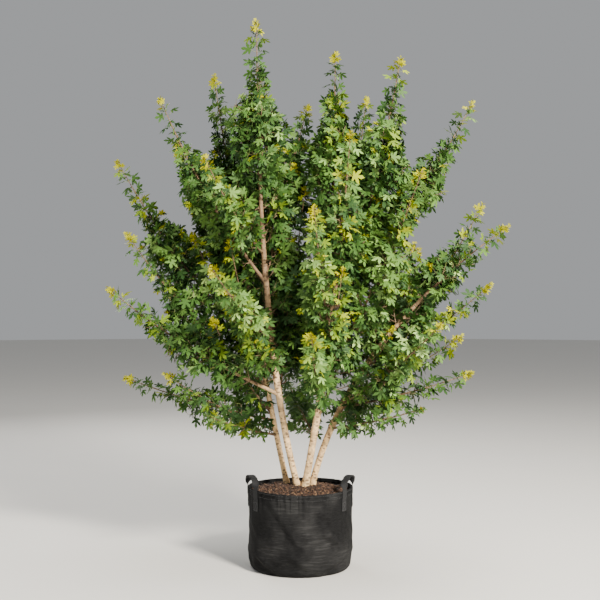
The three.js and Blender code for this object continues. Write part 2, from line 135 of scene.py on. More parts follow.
class Value:
    """A socket in a shader, whose arithmetic adds Math nodes."""

    def __init__(self, paint: "Paint", socket: bpy.types.NodeSocket) -> None:
        """Wraps one output socket."""
        self.paint = paint
        self.socket = socket

    def _math(self, operation: str, *values: object) -> "Value":
        """Adds a Math node for an operation on values."""
        return self.paint.node("ShaderNodeMath", {"operation": operation}, dict(enumerate(values)))

    def __add__(self, other: object) -> "Value":
        """Adds."""
        return self._math("ADD", self, other)

    def __radd__(self, other: object) -> "Value":
        """Adds to a number."""
        return self._math("ADD", other, self)

    def __rsub__(self, other: object) -> "Value":
        """Subtracts from a number."""
        return self._math("SUBTRACT", other, self)

    def __mul__(self, other: object) -> "Value":
        """Multiplies."""
        return self._math("MULTIPLY", self, other)

    def sine(self) -> "Value":
        """The sine, in radians."""
        return self._math("SINE", self)

    def size(self) -> "Value":
        """The value without its sign."""
        return self._math("ABSOLUTE", self)

    def between(self, low: float, high: float) -> "Value":
        """A smooth step from 0 at low to 1 at high."""
        settings = {"interpolation_type": "SMOOTHSTEP"}
        return self.paint.node("ShaderNodeMapRange", settings, {0: self, 1: low, 2: high})


@dataclass(frozen=True)
class Grain:
    """Noise: its waves a metre, how fine it is, its stretch by axis, and the values it fades between."""

    waves: float
    detail: float = 2
    rough: float = 0.5
    stretch: Optional[tuple] = None
    fade: Optional[tuple] = None


@dataclass(frozen=True)
class Flecks:
    """Scattered flecks: how many a metre, their stretch by axis, where their edges fade, and their depth."""

    waves: float
    stretch: tuple
    edge: tuple
    share: float


class Paint:
    """One material and the nodes that make it."""

    OBJECT_PLACE = 3
    ATTRIBUTE_VECTOR = 1
    MIX_FIRST, MIX_SECOND, MIXED_COLOUR = 6, 7, 2

    def __init__(self, name: str) -> None:
        """Starts a material with a Principled shader.

        Args:
            name: The material's name.
        """
        self.material = bpy.data.materials.new(name)
        self.material.use_nodes = True
        self.tree = self.material.node_tree
        self.tree.nodes.clear()
        self.shader = self.tree.nodes.new("ShaderNodeBsdfPrincipled")
        output = self.tree.nodes.new("ShaderNodeOutputMaterial")
        self.tree.links.new(self.shader.outputs[0], output.inputs[0])

    def _feed(self, socket: bpy.types.NodeSocket, value: object) -> None:
        """Sets a socket to a number, a colour or a link.

        Args:
            socket: The input.
            value: What it gets.
        """
        if isinstance(value, Value):
            self.tree.links.new(value.socket, socket)
        elif isinstance(value, tuple) and socket.type == "RGBA":
            socket.default_value = (*value, 1.0)
        else:
            socket.default_value = value

    def node(self, kind: str, settings: dict, inputs: dict, output: int = 0) -> Value:
        """Adds a node.

        Args:
            kind: The node's type.
            settings: Its own settings, set first.
            inputs: Values or links by socket name or number.
            output: The number of the output that is wanted.

        Returns:
            The wanted output.
        """
        made = self.tree.nodes.new(kind)
        for key, value in settings.items():
            setattr(made, key, value)
        for key, value in inputs.items():
            self._feed(made.inputs[key], value)
        return Value(self, made.outputs[output])

    def place(self) -> Value:
        """The piece's own coordinates, in metres."""
        return self.node("ShaderNodeTexCoord", {}, {}, self.OBJECT_PLACE)

    def attribute(self, name: str) -> Value:
        """A vector attribute of the piece."""
        return self.node("ShaderNodeAttribute", {"attribute_name": name}, {}, self.ATTRIBUTE_VECTOR)

    def axis(self, vector: Value, index: int) -> Value:
        """One coordinate of a vector."""
        return self.node("ShaderNodeSeparateXYZ", {}, {0: vector}, index)

    def _stretched(self, vector: Value, scale: Optional[tuple]) -> Value:
        """A vector scaled by axis, or as it is if there is no scale.

        Args:
            vector: The vector.
            scale: A number for each axis, or None.

        Returns:
            The scaled vector.
        """
        if scale is None:
            return vector
        return self.node("ShaderNodeVectorMath", {"operation": "MULTIPLY"}, {0: vector, 1: scale})

    def grain(self, vector: Value, grain: Grain) -> Value:
        """Noise over a vector, from 0 to 1.

        Args:
            vector: Where it is read.
            grain: Its waves and its fade.

        Returns:
            The noise.
        """
        inputs = {"Vector": self._stretched(vector, grain.stretch), "Scale": grain.waves,
                  "Detail": grain.detail, "Roughness": grain.rough}
        value = self.node("ShaderNodeTexNoise", {}, inputs)
        return value.between(*grain.fade) if grain.fade else value

    def flecks(self, vector: Value, flecks: Flecks) -> Value:
        """Scattered flecks over a vector: their share in a fleck and 0 outside."""
        inputs = {"Vector": self._stretched(vector, flecks.stretch), "Scale": flecks.waves}
        return (1 - self.node("ShaderNodeTexVoronoi", {}, inputs).between(*flecks.edge)) * flecks.share

    def blend(self, share: object, first: object, second: object) -> Value:
        """A mix of two colours by a share."""
        inputs = {0: share, self.MIX_FIRST: first, self.MIX_SECOND: second}
        return self.node("ShaderNodeMix", {"data_type": "RGBA"}, inputs, self.MIXED_COLOUR)

    def relief(self, height: Value, depth: float) -> Value:
        """A bump whose height is worth so many metres."""
        return self.node("ShaderNodeBump", {}, {"Strength": 1.0, "Distance": depth, "Height": height})

    def dress(self, **sockets: object) -> Material:
        """Feeds the Principled shader's sockets by name, with _ for a space.

        Args:
            **sockets: Values or links.

        Returns:
            The finished material.
        """
        for name, value in sockets.items():
            self._feed(self.shader.inputs[name.replace("_", " ")], value)
        return self.material


# Finishes


@dataclass(frozen=True)
class BarkFinish:
    """Smooth pale bark with small dark marks across the limb, browner on young wood."""

    name: str = "bark"
    pale: tuple = (0.90, 0.61, 0.30)
    grey: tuple = (0.38, 0.240, 0.120)
    young: tuple = (0.165, 0.096, 0.050)
    mark: tuple = (0.070, 0.038, 0.020)
    blotches: Grain = Grain(22, 4, 0.6, fade=(0.35, 0.70))
    mottle: Grain = Grain(62, 3, 0.6, (1, 1, 0.7), (0.50, 0.66))
    mottle_share: float = 0.42
    fibres: Grain = Grain(260, 3, stretch=(1, 1, 0.25))
    streak_fade: tuple = (0.45, 0.8)
    streak_share: float = 0.35
    marks: Grain = Grain(1, 1, stretch=(70, 70, 330), fade=(0.66, 0.74))
    mark_share: float = 0.75
    dots: Flecks = Flecks(95, (1, 1, 1.6), (0.10, 0.17), 0.55)
    spots: Flecks = Flecks(52, (0.7, 0.7, 1.35), (0.26, 0.38), 0.75)
    spotted: Grain = Grain(14, fade=(0.20, 0.36))
    scars: Flecks = Flecks(13, (0.8, 0.8, 1.0), (0.09, 0.13), 0.9)
    ring_spacing: float = 0.13
    ring_width: float = 0.055
    ring_share: float = 0.5
    wander: Grain = Grain(9)
    wander_share: float = 0.5
    young_z: tuple = (0.85, 1.45)
    young_share: float = 0.90
    girths: tuple = (0.0030, 0.0135)
    depth: float = 0.0012

    GIRTH_SCALE = 1e4

    def material(self) -> Material:
        """Writes the material over the limb's own coordinates.

        Returns:
            The finished material.
        """
        paint = Paint(self.name)
        limb = paint.attribute(LimbSkin.PLACE)
        height = paint.axis(paint.place(), 2)
        fibres, marks = paint.grain(limb, self.fibres), paint.grain(limb, self.marks)
        wander = paint.grain(limb, self.wander) * self.wander_share
        cycle = (paint.axis(limb, 2) * (math.pi / self.ring_spacing) + wander).sine().size()
        rings = 1 - cycle.between(0.0, self.ring_width)
        old = paint.blend(paint.grain(limb, self.blotches), self.pale, self.grey)
        across, aside = paint.axis(limb, 0), paint.axis(limb, 1)
        girth = (across * across + aside * aside) * self.GIRTH_SCALE
        thick = girth.between(*(self.GIRTH_SCALE * size ** 2 for size in self.girths))
        youth = 1 - thick * (1 - height.between(*self.young_z) * self.young_share)
        aged = paint.blend(youth, old, self.young)
        mottled = paint.blend(paint.grain(limb, self.mottle) * self.mottle_share, aged, self.grey)
        streaked = paint.blend(fibres.between(*self.streak_fade) * self.streak_share, mottled, self.grey)
        spots = paint.flecks(limb, self.spots) * paint.grain(limb, self.spotted)
        clean = (1 - marks * self.mark_share) * (1 - paint.flecks(limb, self.dots)) * (1 - spots)
        clean = clean * (1 - paint.flecks(limb, self.scars)) * (1 - rings * self.ring_share)
        colour = paint.blend(1 - clean, streaked, self.mark)
        relief = paint.relief(fibres * 0.6 + marks * 0.9 + rings * 0.8, self.depth)
        return paint.dress(Base_Color=colour, Roughness=0.62 + fibres * 0.25, Normal=relief)


@dataclass(frozen=True)
class ClothFinish:
    """Charcoal felted cloth with fine level streaks."""

    name: str = "pot_cloth"
    dark: tuple = (0.0020, 0.0021, 0.0025)
    light: tuple = (0.054, 0.0535, 0.0535)
    streaks: Grain = Grain(1, 2, 0.5, (11, 11, 150))
    streak_fade: tuple = (0.48, 0.70)
    streak_share: float = 0.30
    threads: Grain = Grain(1, 3, 0.65, (40, 40, 620))
    thread_fade: tuple = (0.3, 0.75)
    thread_share: float = 0.22
    fibres: Grain = Grain(900, 2, 0.7)
    wear: Grain = Grain(6, 3, 0.55, fade=(0.42, 0.68))
    wear_share: float = 0.20
    depth: float = 0.0012
    shine: float = 0.10

    def material(self) -> Material:
        """Writes the material over object coordinates.

        Returns:
            The finished material.
        """
        paint = Paint(self.name)
        place = paint.place()
        streaks, threads, fibres, wear = (
            paint.grain(place, grain) for grain in (self.streaks, self.threads, self.fibres, self.wear))
        worn = streaks.between(*self.streak_fade) * wear * self.streak_share
        share = worn + threads.between(*self.thread_fade) * self.thread_share + wear * self.wear_share
        colour = paint.blend(share, self.dark, self.light)
        relief = paint.relief(streaks * 0.8 + threads * 0.5 + fibres * 0.6, self.depth)
        rough = 0.62 + fibres * 0.25
        return paint.dress(Base_Color=colour, Roughness=rough, Normal=relief, Specular_IOR_Level=self.shine)


@dataclass(frozen=True)
class WebbingFinish:
    """Black woven webbing with ribs along and threads across."""

    name: str = "webbing"
    dark: tuple = (0.004, 0.0041, 0.0048)
    light: tuple = (0.022, 0.0225, 0.0245)
    rib_pitch: float = 0.0026
    thread_pitch: float = 0.0019
    fluff: Grain = Grain(700)
    fluff_fade: tuple = (0.4, 0.8)
    depth: float = 0.0006
    shine: float = 0.3

    def material(self) -> Material:
        """Writes the material over the strap's own coordinates.

        Returns:
            The finished material.
        """
        paint = Paint(self.name)
        place = paint.attribute(Handle.PLACE)
        rib = (paint.axis(place, 0) * (TURN / self.rib_pitch)).sine()
        thread = (paint.axis(place, 1) * (TURN / self.thread_pitch) + rib * 1.5).sine()
        fluff = paint.grain(paint.place(), self.fluff)
        weave = rib * 0.25 + thread * 0.25 + 0.5
        colour = paint.blend(weave * 0.6 + fluff.between(*self.fluff_fade) * 0.4, self.dark, self.light)
        relief = paint.relief(weave + fluff * 0.3, self.depth)
        rough = 0.62 + fluff * 0.2
        return paint.dress(Base_Color=colour, Roughness=rough, Normal=relief, Specular_IOR_Level=self.shine)


@dataclass(frozen=True)
class SpeckledFinish:
    """A dry, rough finish whose colour wanders between two tones."""

    name: str
    dark: tuple
    light: tuple
    waves: float
    roughness: float = 0.9
    depth: float = 0.001

    def material(self) -> Material:
        """Writes the material over object coordinates.

        Returns:
            The finished material.
        """
        paint = Paint(self.name)
        grain = paint.grain(paint.place(), Grain(self.waves, 4, 0.65))
        colour = paint.blend(grain.between(0.3, 0.7), self.dark, self.light)
        rough = self.roughness - grain * 0.15
        return paint.dress(Base_Color=colour, Roughness=rough, Normal=paint.relief(grain, self.depth))


@dataclass(frozen=True)
class LeafFinish:
    """One plain leaf colour with a soft gloss."""

    name: str
    colour: tuple
    shine: float = 0.5
    roughness: float = 0.54
    unevenness: Grain = Grain(120)

    def material(self) -> Material:
        """Writes the material.

        Returns:
            The finished material.
        """
        paint = Paint(self.name)
        rough = self.roughness + paint.grain(paint.place(), self.unevenness) * 0.2
        return paint.dress(Base_Color=self.colour, Roughness=rough, Specular_IOR_Level=self.shine)


class Tint(Enum):
    """Leaf colours: painted shade for the inside and underside of the crown, painted light and painted
    highlight for its outside and front, plain greens between, and the new growth at its tips.
    """

    # The two darkest greens are painted shade, for sprays deep in the crown and under it; the mint and pale
    # greens are painted light and painted highlight, for sprays at the outside and the front.
    SHADE = LeafFinish("leaf_shade", (0.023, 0.066, 0.012), 0.34)
    DEEP = LeafFinish("leaf_deep", (0.045, 0.112, 0.015), 0.36)
    MIDDLE = LeafFinish("leaf_middle", (0.086, 0.180, 0.024), 0.38)
    MINT = LeafFinish("leaf_mint", (0.175, 0.305, 0.064), 0.45)
    PALE = LeafFinish("leaf_pale", (0.335, 0.495, 0.140), 0.5)
    FRESH = LeafFinish("leaf_fresh", (0.160, 0.250, 0.010), 0.30)
    BRIGHT = LeafFinish("leaf_bright", (0.285, 0.340, 0.006), 0.20)
    NEW = LeafFinish("leaf_new", (0.375, 0.365, 0.003), 0.08)


# Making meshes


def deselect_all() -> None:
    """Leaves nothing selected, in object mode."""
    bpy.ops.object.select_all(action="DESELECT")


def finish_piece(piece: Object, material: Material, nodes: Iterable[str] = ()) -> None:
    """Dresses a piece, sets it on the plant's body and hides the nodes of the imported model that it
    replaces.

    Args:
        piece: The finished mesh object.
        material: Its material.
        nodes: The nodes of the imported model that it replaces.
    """
    piece.data.materials.clear()
    piece.data.materials.append(material)
    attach(piece, BODY)
    if nodes:
        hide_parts(*nodes)
    LOG.info("%s: %d faces", piece.name, len(piece.data.polygons))


def rolled(name: str, around: int, along: int, surface: Callable, labels: Optional[tuple] = None,
           weld: float = 1e-5) -> Object:
    """Rolls a grid into a tube, welds its seam and closes its ends.

    Args:
        name: The piece's name.
        around: Faces round the tube.
        along: Faces along it.
        surface: Gives points for arrays of shares round and along.
        labels: An attribute's name, and a function like surface that gives its vectors.
        weld: The distance under which points are merged.

    Returns:
        The new object.
    """
    deselect_all()
    bpy.ops.mesh.primitive_grid_add(x_subdivisions=around, y_subdivisions=along, size=1)
    piece = bpy.context.object
    piece.name = name
    mesh = piece.data
    mesh.name = name
    flat = np.empty(len(mesh.vertices) * 3)
    mesh.vertices.foreach_get("co", flat)
    u, v = (flat.reshape(-1, 3)[:, :2] + 0.5).T
    mesh.vertices.foreach_set("co", surface(u, v).ravel())
    if labels:
        layer = mesh.attributes.new(labels[0], "FLOAT_VECTOR", "POINT")
        layer.data.foreach_set("vector", labels[1](u, v).astype(np.float32).ravel())
    bpy.ops.object.mode_set(mode="EDIT")
    bpy.ops.mesh.select_all(action="SELECT")
    bpy.ops.mesh.remove_doubles(threshold=weld)
    bpy.ops.mesh.fill_holes(sides=0)
    bpy.ops.mesh.select_all(action="SELECT")
    bpy.ops.mesh.normals_make_consistent(inside=False)
    bpy.ops.object.mode_set(mode="OBJECT")
    bpy.ops.object.shade_smooth()
    return piece


def joined(name: str, vertices: Array, triangles: Array, smooth_faces: bool = True) -> Object:
    """Makes one mesh of many small things.

    Args:
        name: The piece's name.
        vertices: Points, one a row.
        triangles: Vertex numbers, three a row.
        smooth_faces: Whether the faces are shaded smooth.

    Returns:
        The new object.
    """
    mesh = bpy.data.meshes.new(name)
    count = len(triangles)
    mesh.vertices.add(len(vertices))
    mesh.vertices.foreach_set("co", vertices.astype(np.float32).ravel())
    mesh.loops.add(count * 3)
    mesh.loops.foreach_set("vertex_index", triangles.astype(np.int32).ravel())
    mesh.polygons.add(count)
    mesh.polygons.foreach_set("loop_start", np.arange(count, dtype=np.int32) * 3)
    mesh.polygons.foreach_set("use_smooth", np.full(count, smooth_faces))
    mesh.update(calc_edges=True)
    mesh.validate()
    piece = bpy.data.objects.new(name, mesh)
    bpy.context.scene.collection.objects.link(piece)
    return piece


def repeated(template: Array, faces: Array, feet: Array, axes: Array) -> tuple:
    """Copies of a small shape, each with its own place and axes.

    Args:
        template: The shape's points, n by 3.
        faces: Its triangles.
        feet: The copies' places, k by 3.
        axes: The copies' three axes, scaled to their sizes, k by 3 by 3.

    Returns:
        All the points and all the triangles.
    """
    points = feet[:, None, :] + np.einsum("vi,kij->kvj", template, axes)
    shift = np.arange(len(feet))[:, None, None] * len(template)
    return points.reshape(-1, 3), (faces[None] + shift).reshape(-1, 3)


def unit(vectors: Array) -> Array:
    """Vectors scaled to length one, along the last axis."""
    return vectors / np.maximum(np.linalg.norm(vectors, axis=-1, keepdims=True), TINY)


def tubes(lines: Array, radii: Array, sides: int) -> tuple:
    """Closed tubes along many lines at once.

    Args:
        lines: Points, k lines by n points by 3.
        radii: A radius for each point, k by n.
        sides: Faces round each tube.

    Returns:
        All the points and all the triangles.
    """
    count, steps, _ = lines.shape
    headings = unit(np.gradient(lines, axis=1))
    steep = np.abs(headings[:, :1, 2:]) > 0.9
    start = np.where(steep, np.array([1.0, 0, 0]), np.array([0, 0, 1.0]))
    side = unit(np.cross(headings, np.broadcast_to(start, headings.shape)))
    other = np.cross(headings, side)
    angles = (np.arange(sides) * 2 * math.pi / sides)[None, None, :, None]
    spokes = side[:, :, None] * np.cos(angles) + other[:, :, None] * np.sin(angles)
    points = lines[:, :, None] + spokes * radii[:, :, None, None]
    faces = []
    for step in range(steps - 1):
        for i in range(sides):
            a, b = step * sides + i, step * sides + (i + 1) % sides
            faces += [(a, b, b + sides), (a, b + sides, a + sides)]
    last = (steps - 1) * sides
    for i in range(1, sides - 1):
        faces += [(0, i + 1, i), (last, last + i, last + i + 1)]
    shift = np.arange(count)[:, None, None] * steps * sides
    return points.reshape(-1, 3), (np.array(faces)[None] + shift).reshape(-1, 3)


def add_tubes(name: str, lines: Array, radii: Numbers, sides: int,
              material: Material, nodes: Iterable[str] = ()) -> None:
    """Makes one finished piece of many thin tubes.

    Args:
        name: The piece's name.
        lines: Points, k lines by n points by 3.
        radii: One radius, or one for each of the n points, or k by n.
        sides: Faces round each tube.
        material: Its material.
        nodes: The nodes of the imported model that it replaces.
    """
    shape = tubes(lines, np.broadcast_to(radii, lines.shape[:2]), sides)
    finish_piece(joined(name, *shape), material, nodes)


# Limbs


@dataclass(frozen=True)
class Stem:
    """A stem, by where it leaves the soil, its bend and its tip, in millimetres."""

    name: str
    foot: tuple
    knee: tuple
    tip: tuple
    girth: float
    spread: float
    bare: float


@dataclass(frozen=True)
class Shoot:
    """A shoot, by the height of its fork and its tip, in millimetres."""

    name: str
    fork: float
    tip: tuple
    girth: float
    spread: float
    bare: float


SOIL_CROWN_Z = 382
STEMS = (
    Stem("back_left", (-64, 65), (-265, 150, 1290), (-440, 300, 2425), 13.5, 160, 0.6),
    Stem("main", (-12, 5), (-205, -60, 1110), (-207, -50, 2612), 15.5, 175, 0.64),
    Stem("middle", (24, -12), (175, -90, 1230), (228, -330, 2040), 17, 185, 0.58),
    Stem("right", (58, 24), (222, 25, 1075), (1003, 0, 1640), 15.5, 170, 0.68),
)
SHOOTS = {
    "main": (
        Shoot("upper_left", 1365, (-668, -50, 2244), 9, 175, 0.3),
        Shoot("front_left_high", 1500, (-430, -350, 1925), 6, 160, 0),
        Shoot("low_left", 830, (-898, -150, 1338), 10, 175, 0.3),
        Shoot("front_left", 1100, (-376, -620, 1419), 8, 190, 0.3),
        Shoot("back_high", 1580, (38, 400, 2288), 7, 160, 0),
        Shoot("inner_back", 780, (-70, 330, 1640), 6, 200, 0),
    ),
    "back_left": (
        Shoot("far_left_high", 1030, (-914, 200, 1976), 9, 165, 0.3),
        Shoot("far_left", 860, (-850, 90, 1608), 8, 150, 0.3),
        Shoot("skirt_left", 690, (-860, 110, 900), 7, 140, 0.27),
        Shoot("skirt_front_left", 620, (-430, -290, 760), 6, 150, 0),
        Shoot("back_left_low", 740, (-520, 600, 1010), 7, 180, 0),
        Shoot("back_left_mid", 1120, (-470, 740, 1640), 8, 190, 0.27),
        Shoot("back_left_high", 1450, (-640, 420, 2090), 6, 150, 0),
        Shoot("inner_left", 900, (-330, -130, 1560), 6, 190, 0),
    ),
    "middle": (
        Shoot("right_leader", 1000, (489, 30, 2456), 11, 185, 0.45),
        Shoot("right_mid", 920, (570, -190, 1890), 10, 175, 0.38),
        Shoot("back_leader", 1180, (178, 220, 2522), 9, 175, 0.38),
        Shoot("back_side", 1330, (345, 400, 2330), 6, 130, 0),
        Shoot("front_low", 800, (47, -700, 1137), 7, 165, 0.27),
        Shoot("front_mid", 1130, (60, -560, 1680), 7, 175, 0.3),
        Shoot("back_low", 640, (-60, 640, 830), 6, 180, 0),
        Shoot("back_mid", 860, (60, 790, 1400), 8, 200, 0.27),
        Shoot("inner_right", 720, (310, -80, 1430), 6, 180, 0),
    ),
    "right": (
        Shoot("front_right", 790, (604, -550, 1175), 8, 180, 0.27),
        Shoot("right_side", 1180, (912, 190, 1760), 5, 110, 0),
        Shoot("far_right", 960, (875, -230, 1352), 6, 150, 0),
        Shoot("skirt_right", 760, (822, -40, 935), 6, 130, 0),
        Shoot("skirt_front_right", 660, (560, -300, 790), 6, 150, 0),
        Shoot("back_right_low", 700, (430, 520, 850), 7, 180, 0),
        Shoot("back_right_mid", 930, (640, 600, 1560), 8, 190, 0.27),
    ),
    "right_leader": (
        Shoot("far_right_high", 1450, (857, 150, 2262), 7, 160, 0.3),
        Shoot("back_right_high", 1330, (470, 520, 2010), 6, 160, 0),
    ),
}
# Thin shoots inside the crown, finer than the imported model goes
INNER_SHOOTS = {
    "main": (
        Shoot("fill_centre", 930, (25, 60, 1830), 5, 165, 0),
        Shoot("fill_front_left", 900, (-330, -330, 1330), 5, 150, 0),
        Shoot("fill_top", 1400, (-30, 130, 1950), 5, 140, 0),
    ),
    "back_left": (
        Shoot("fill_low_left", 720, (-420, -40, 1190), 5, 160, 0),
        Shoot("fill_left", 1000, (-520, 30, 1600), 5, 160, 0),
        Shoot("fill_skirt_left", 640, (-640, -70, 930), 5, 130, 0),
    ),
    "middle": (
        Shoot("fill_front", 900, (190, -380, 1420), 5, 150, 0),
        Shoot("fill_right_high", 1150, (370, -60, 1780), 5, 150, 0),
    ),
    "right": (
        Shoot("fill_low_right", 720, (440, -80, 1150), 5, 160, 0),
        Shoot("fill_right", 900, (560, 110, 1560), 5, 165, 0),
        Shoot("fill_skirt_right", 820, (760, -110, 1110), 5, 130, 0),
    ),
}
BEND_OUT = 0.58
BEND_UP = 0.42
ROOT_FLARE = 4 * MM
ROOT_FLARE_HEIGHT = 26 * MM
TAPER = (0.3, 1.02)
BOUGH_TAPER = 0.8
BOUGH_TO_PARENT = 0.8
TWIG_END_RADIUS = 1.5 * MM
STEM_BELOW = 0.03


class BentLine:
    """A quadratic Bezier curve, read by shares of its length."""

    STEPS = np.linspace(0, 1, 201)

    def __init__(self, start: Sequence[float], knee: Sequence[float], end: Sequence[float]) -> None:
        """Measures the curve.

        Args:
            start: Its first point.
            knee: The point that bends it.
            end: Its last point.
        """
        self.points = np.array([start, knee, end], float)
        runs = np.linalg.norm(np.diff(self._at(self.STEPS), axis=0), axis=1)
        self.length = float(runs.sum())
        self._shares = np.concatenate([[0], np.cumsum(runs)]) / self.length

    def _at(self, step: Array) -> Array:
        """Points by the curve's own parameter.

        Args:
            step: Values from 0 to 1.

        Returns:
            The points.
        """
        t = np.asarray(step, float)[..., None]
        a, b, c = self.points
        return (1 - t) ** 2 * a + 2 * (1 - t) * t * b + t * t * c

    def heading(self, share: Numbers) -> Array:
        """The direction at a share or an array of them.

        Args:
            share: One share or an array of them.

        Returns:
            Directions of length one.
        """
        t = np.interp(np.clip(share, 0, 1), self._shares, self.STEPS)[..., None]
        a, b, c = self.points
        return unit((1 - t) * (b - a) + t * (c - b))

    def at(self, share: Numbers) -> Array:
        """Points at shares, which run on straight past the ends.

        Args:
            share: One share or an array of them.

        Returns:
            The points.
        """
        inside = np.clip(share, 0, 1)
        spots = self._at(np.interp(inside, self._shares, self.STEPS))
        past = np.asarray(share, float) - inside
        return spots + self.heading(share) * (past * self.length)[..., None]

    def share_at_height(self, height: float) -> float:
        """The share at which a rising curve reaches a height."""
        shares = np.linspace(0, 1, 2001)
        return float(np.interp(height, self.at(shares)[:, 2], shares))


@dataclass
class Limb:
    """A stem or shoot: bare wood up to the share named bare, and a leader in foliage from there."""

    name: str
    line: BentLine
    girth: float
    spread: float
    bare: float
    parent: Optional["Limb"] = None
    packed: bool = True

    @property
    def nodes(self) -> list[str]:
        """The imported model's node for the wood, or for the foliage of a limb without bare wood."""
        kind = "foliage_" if not self.bare else "bough_" if self.parent else "stem_"
        return [kind + self.name] if self.packed else []

    def radius(self, share: Numbers) -> Array:
        """The radius at shares of the limb's length.

        Args:
            share: One share or an array of them.

        Returns:
            The radius.
        """
        inside = np.clip(share, 0, 1)
        if self.parent:
            return lerp(self.girth, TWIG_END_RADIUS, inside ** BOUGH_TAPER)
        flare = ROOT_FLARE * np.exp(-inside * self.line.length / ROOT_FLARE_HEIGHT)
        return lerp(self.girth, TWIG_END_RADIUS, smooth(share, *TAPER)) + flare


class Skeleton:
    """All the limbs, by name, in the order in which they grow."""

    def __init__(self) -> None:
        """Grows the stems and then the shoots."""
        self.limbs: dict[str, Limb] = {}
        for stem in STEMS:
            foot = (*stem.foot, SOIL_CROWN_Z)
            line = BentLine(*(np.array(point) * MM for point in (foot, stem.knee, stem.tip)))
            self.limbs[stem.name] = Limb(stem.name, line, stem.girth * MM, stem.spread * MM, stem.bare)
        for table in (SHOOTS, INNER_SHOOTS):
            for parent, shoots in table.items():
                for shoot in shoots:
                    self.limbs[shoot.name] = self._shoot(self.limbs[parent], shoot, table is SHOOTS)

    def _shoot(self, parent: Limb, shoot: Shoot, packed: bool) -> Limb:
        """Grows one shoot from its parent's axis.

        Args:
            parent: The limb that it leaves.
            shoot: Its sizes.
            packed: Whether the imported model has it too.

        Returns:
            The new limb.
        """
        share = parent.line.share_at_height(shoot.fork * MM)
        foot = parent.line.at(share)
        tip = np.array(shoot.tip) * MM
        knee = foot + (tip - foot) * np.array([BEND_OUT, BEND_OUT, BEND_UP])
        girth = min(shoot.girth * MM, BOUGH_TO_PARENT * float(parent.radius(share)))
        line = BentLine(foot, knee, tip)
        return Limb(shoot.name, line, girth, shoot.spread * MM, shoot.bare, parent, packed)

    def foliage_nodes(self) -> list[str]:
        """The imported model's nodes for the masses of foliage."""
        return ["foliage_" + name for name, limb in self.limbs.items() if limb.packed]


@dataclass
class LimbSkin:
    """The bark of one limb, from its foot to its tip, as one tube with relief."""

    limb: Limb
    sides: int
    station: float
    ripple: float = 0.045
    wave_stretch: tuple = (30, 30, 11)
    grain_stretch: tuple = (170, 170, 60)
    knot_height: float = 0.0022
    knot_size: float = 0.011
    knot_falloff: float = 2.5
    knots_a_metre: float = 9.0
    full_knot_girth: float = 0.012
    collar: float = 0.45
    collar_length: float = 0.018

    PLACE = "limb_place"
    STEM_MESH = (28, 0.010)
    BOUGH_MESH = (12, 0.016)

    def _bases(self, along: Array) -> tuple:
        """Two directions across the limb at each station, without twist.

        Args:
            along: Shares of its length.

        Returns:
            The directions, one a row.
        """
        heading = self.limb.line.heading(along)
        a, b, c = self.limb.line.points
        flat = np.broadcast_to(unit(np.cross(c - b, b - a)), heading.shape)
        return unit(np.cross(flat, heading)), flat

    def _shares(self, v: Array) -> Array:
        """Shares of the limb's length, from just inside its seat to its tip."""
        return lerp(-STEM_BELOW if self.limb.parent is None else 0.0, 1.0, v)

    def _knots(self) -> list[tuple]:
        """Scatters the small swollen bud scars.

        Returns:
            The distance along, the angle and the height of each.
        """
        rng = Random(self.limb.name)
        length = self.limb.line.length
        return [(rng.random() * length, rng.random() * TURN, rng.uniform(0.4, 1.0) * self.knot_height)
                for _ in range(int(length * self.knots_a_metre))]

    def _place(self, u: Array, v: Array) -> Array:
        """Coordinates that follow the limb: across it and along it, in metres."""
        shares = self._shares(v)
        return round_axis(self.limb.radius(shares), TURN * u, shares * self.limb.line.length)

    def _noise(self, place: Array, stretch: tuple) -> Array:
        """Noise over the limb's own coordinates, another one for each limb."""
        seed = Vector((len(self.limb.name) * 3.1, self.limb.girth * 1000, 0))
        return np.array([noise.noise(Vector(spot * stretch) + seed) for spot in place])

    def _surface(self, u: Array, v: Array) -> Array:
        """The bark's points, with ripples, knots and a collar at the fork.

        Args:
            u: Shares round the limb.
            v: Shares along it.

        Returns:
            The points.
        """
        shares = self._shares(v)
        run = shares * self.limb.line.length
        angle = TURN * u
        place = self._place(u, v)
        waves, grain = self._noise(place, self.wave_stretch), self._noise(place, self.grain_stretch)
        radius = self.limb.radius(shares) * (1 + self.ripple * waves + 0.5 * self.ripple * grain)
        strength = min(1.0, self.limb.girth / self.full_knot_girth)
        for along, bearing, height in self._knots():
            across = wrapped(angle - bearing) * radius
            apart = ((run - along) / self.knot_size) ** 2 + (across / self.knot_size) ** 2
            radius = radius + strength * height * np.exp(-self.knot_falloff * apart)
        if self.limb.parent:
            radius = radius * (1 + self.collar * np.exp(-run / self.collar_length))
        across, flat = self._bases(shares)
        out = across * np.cos(angle)[:, None] + flat * np.sin(angle)[:, None]
        return self.limb.line.at(shares) + out * radius[:, None]

    def build(self, material: Material) -> None:
        """Makes the skin.

        Args:
            material: The bark.
        """
        steps = max(8, round(self.limb.line.length / self.station))
        kind = "bough" if self.limb.parent else "stem"
        labels = (self.PLACE, self._place)
        piece = rolled(f"bark_{kind}_{self.limb.name}", self.sides, steps, self._surface, labels, 1e-6)
        finish_piece(piece, material, self.limb.nodes)


# Foliage


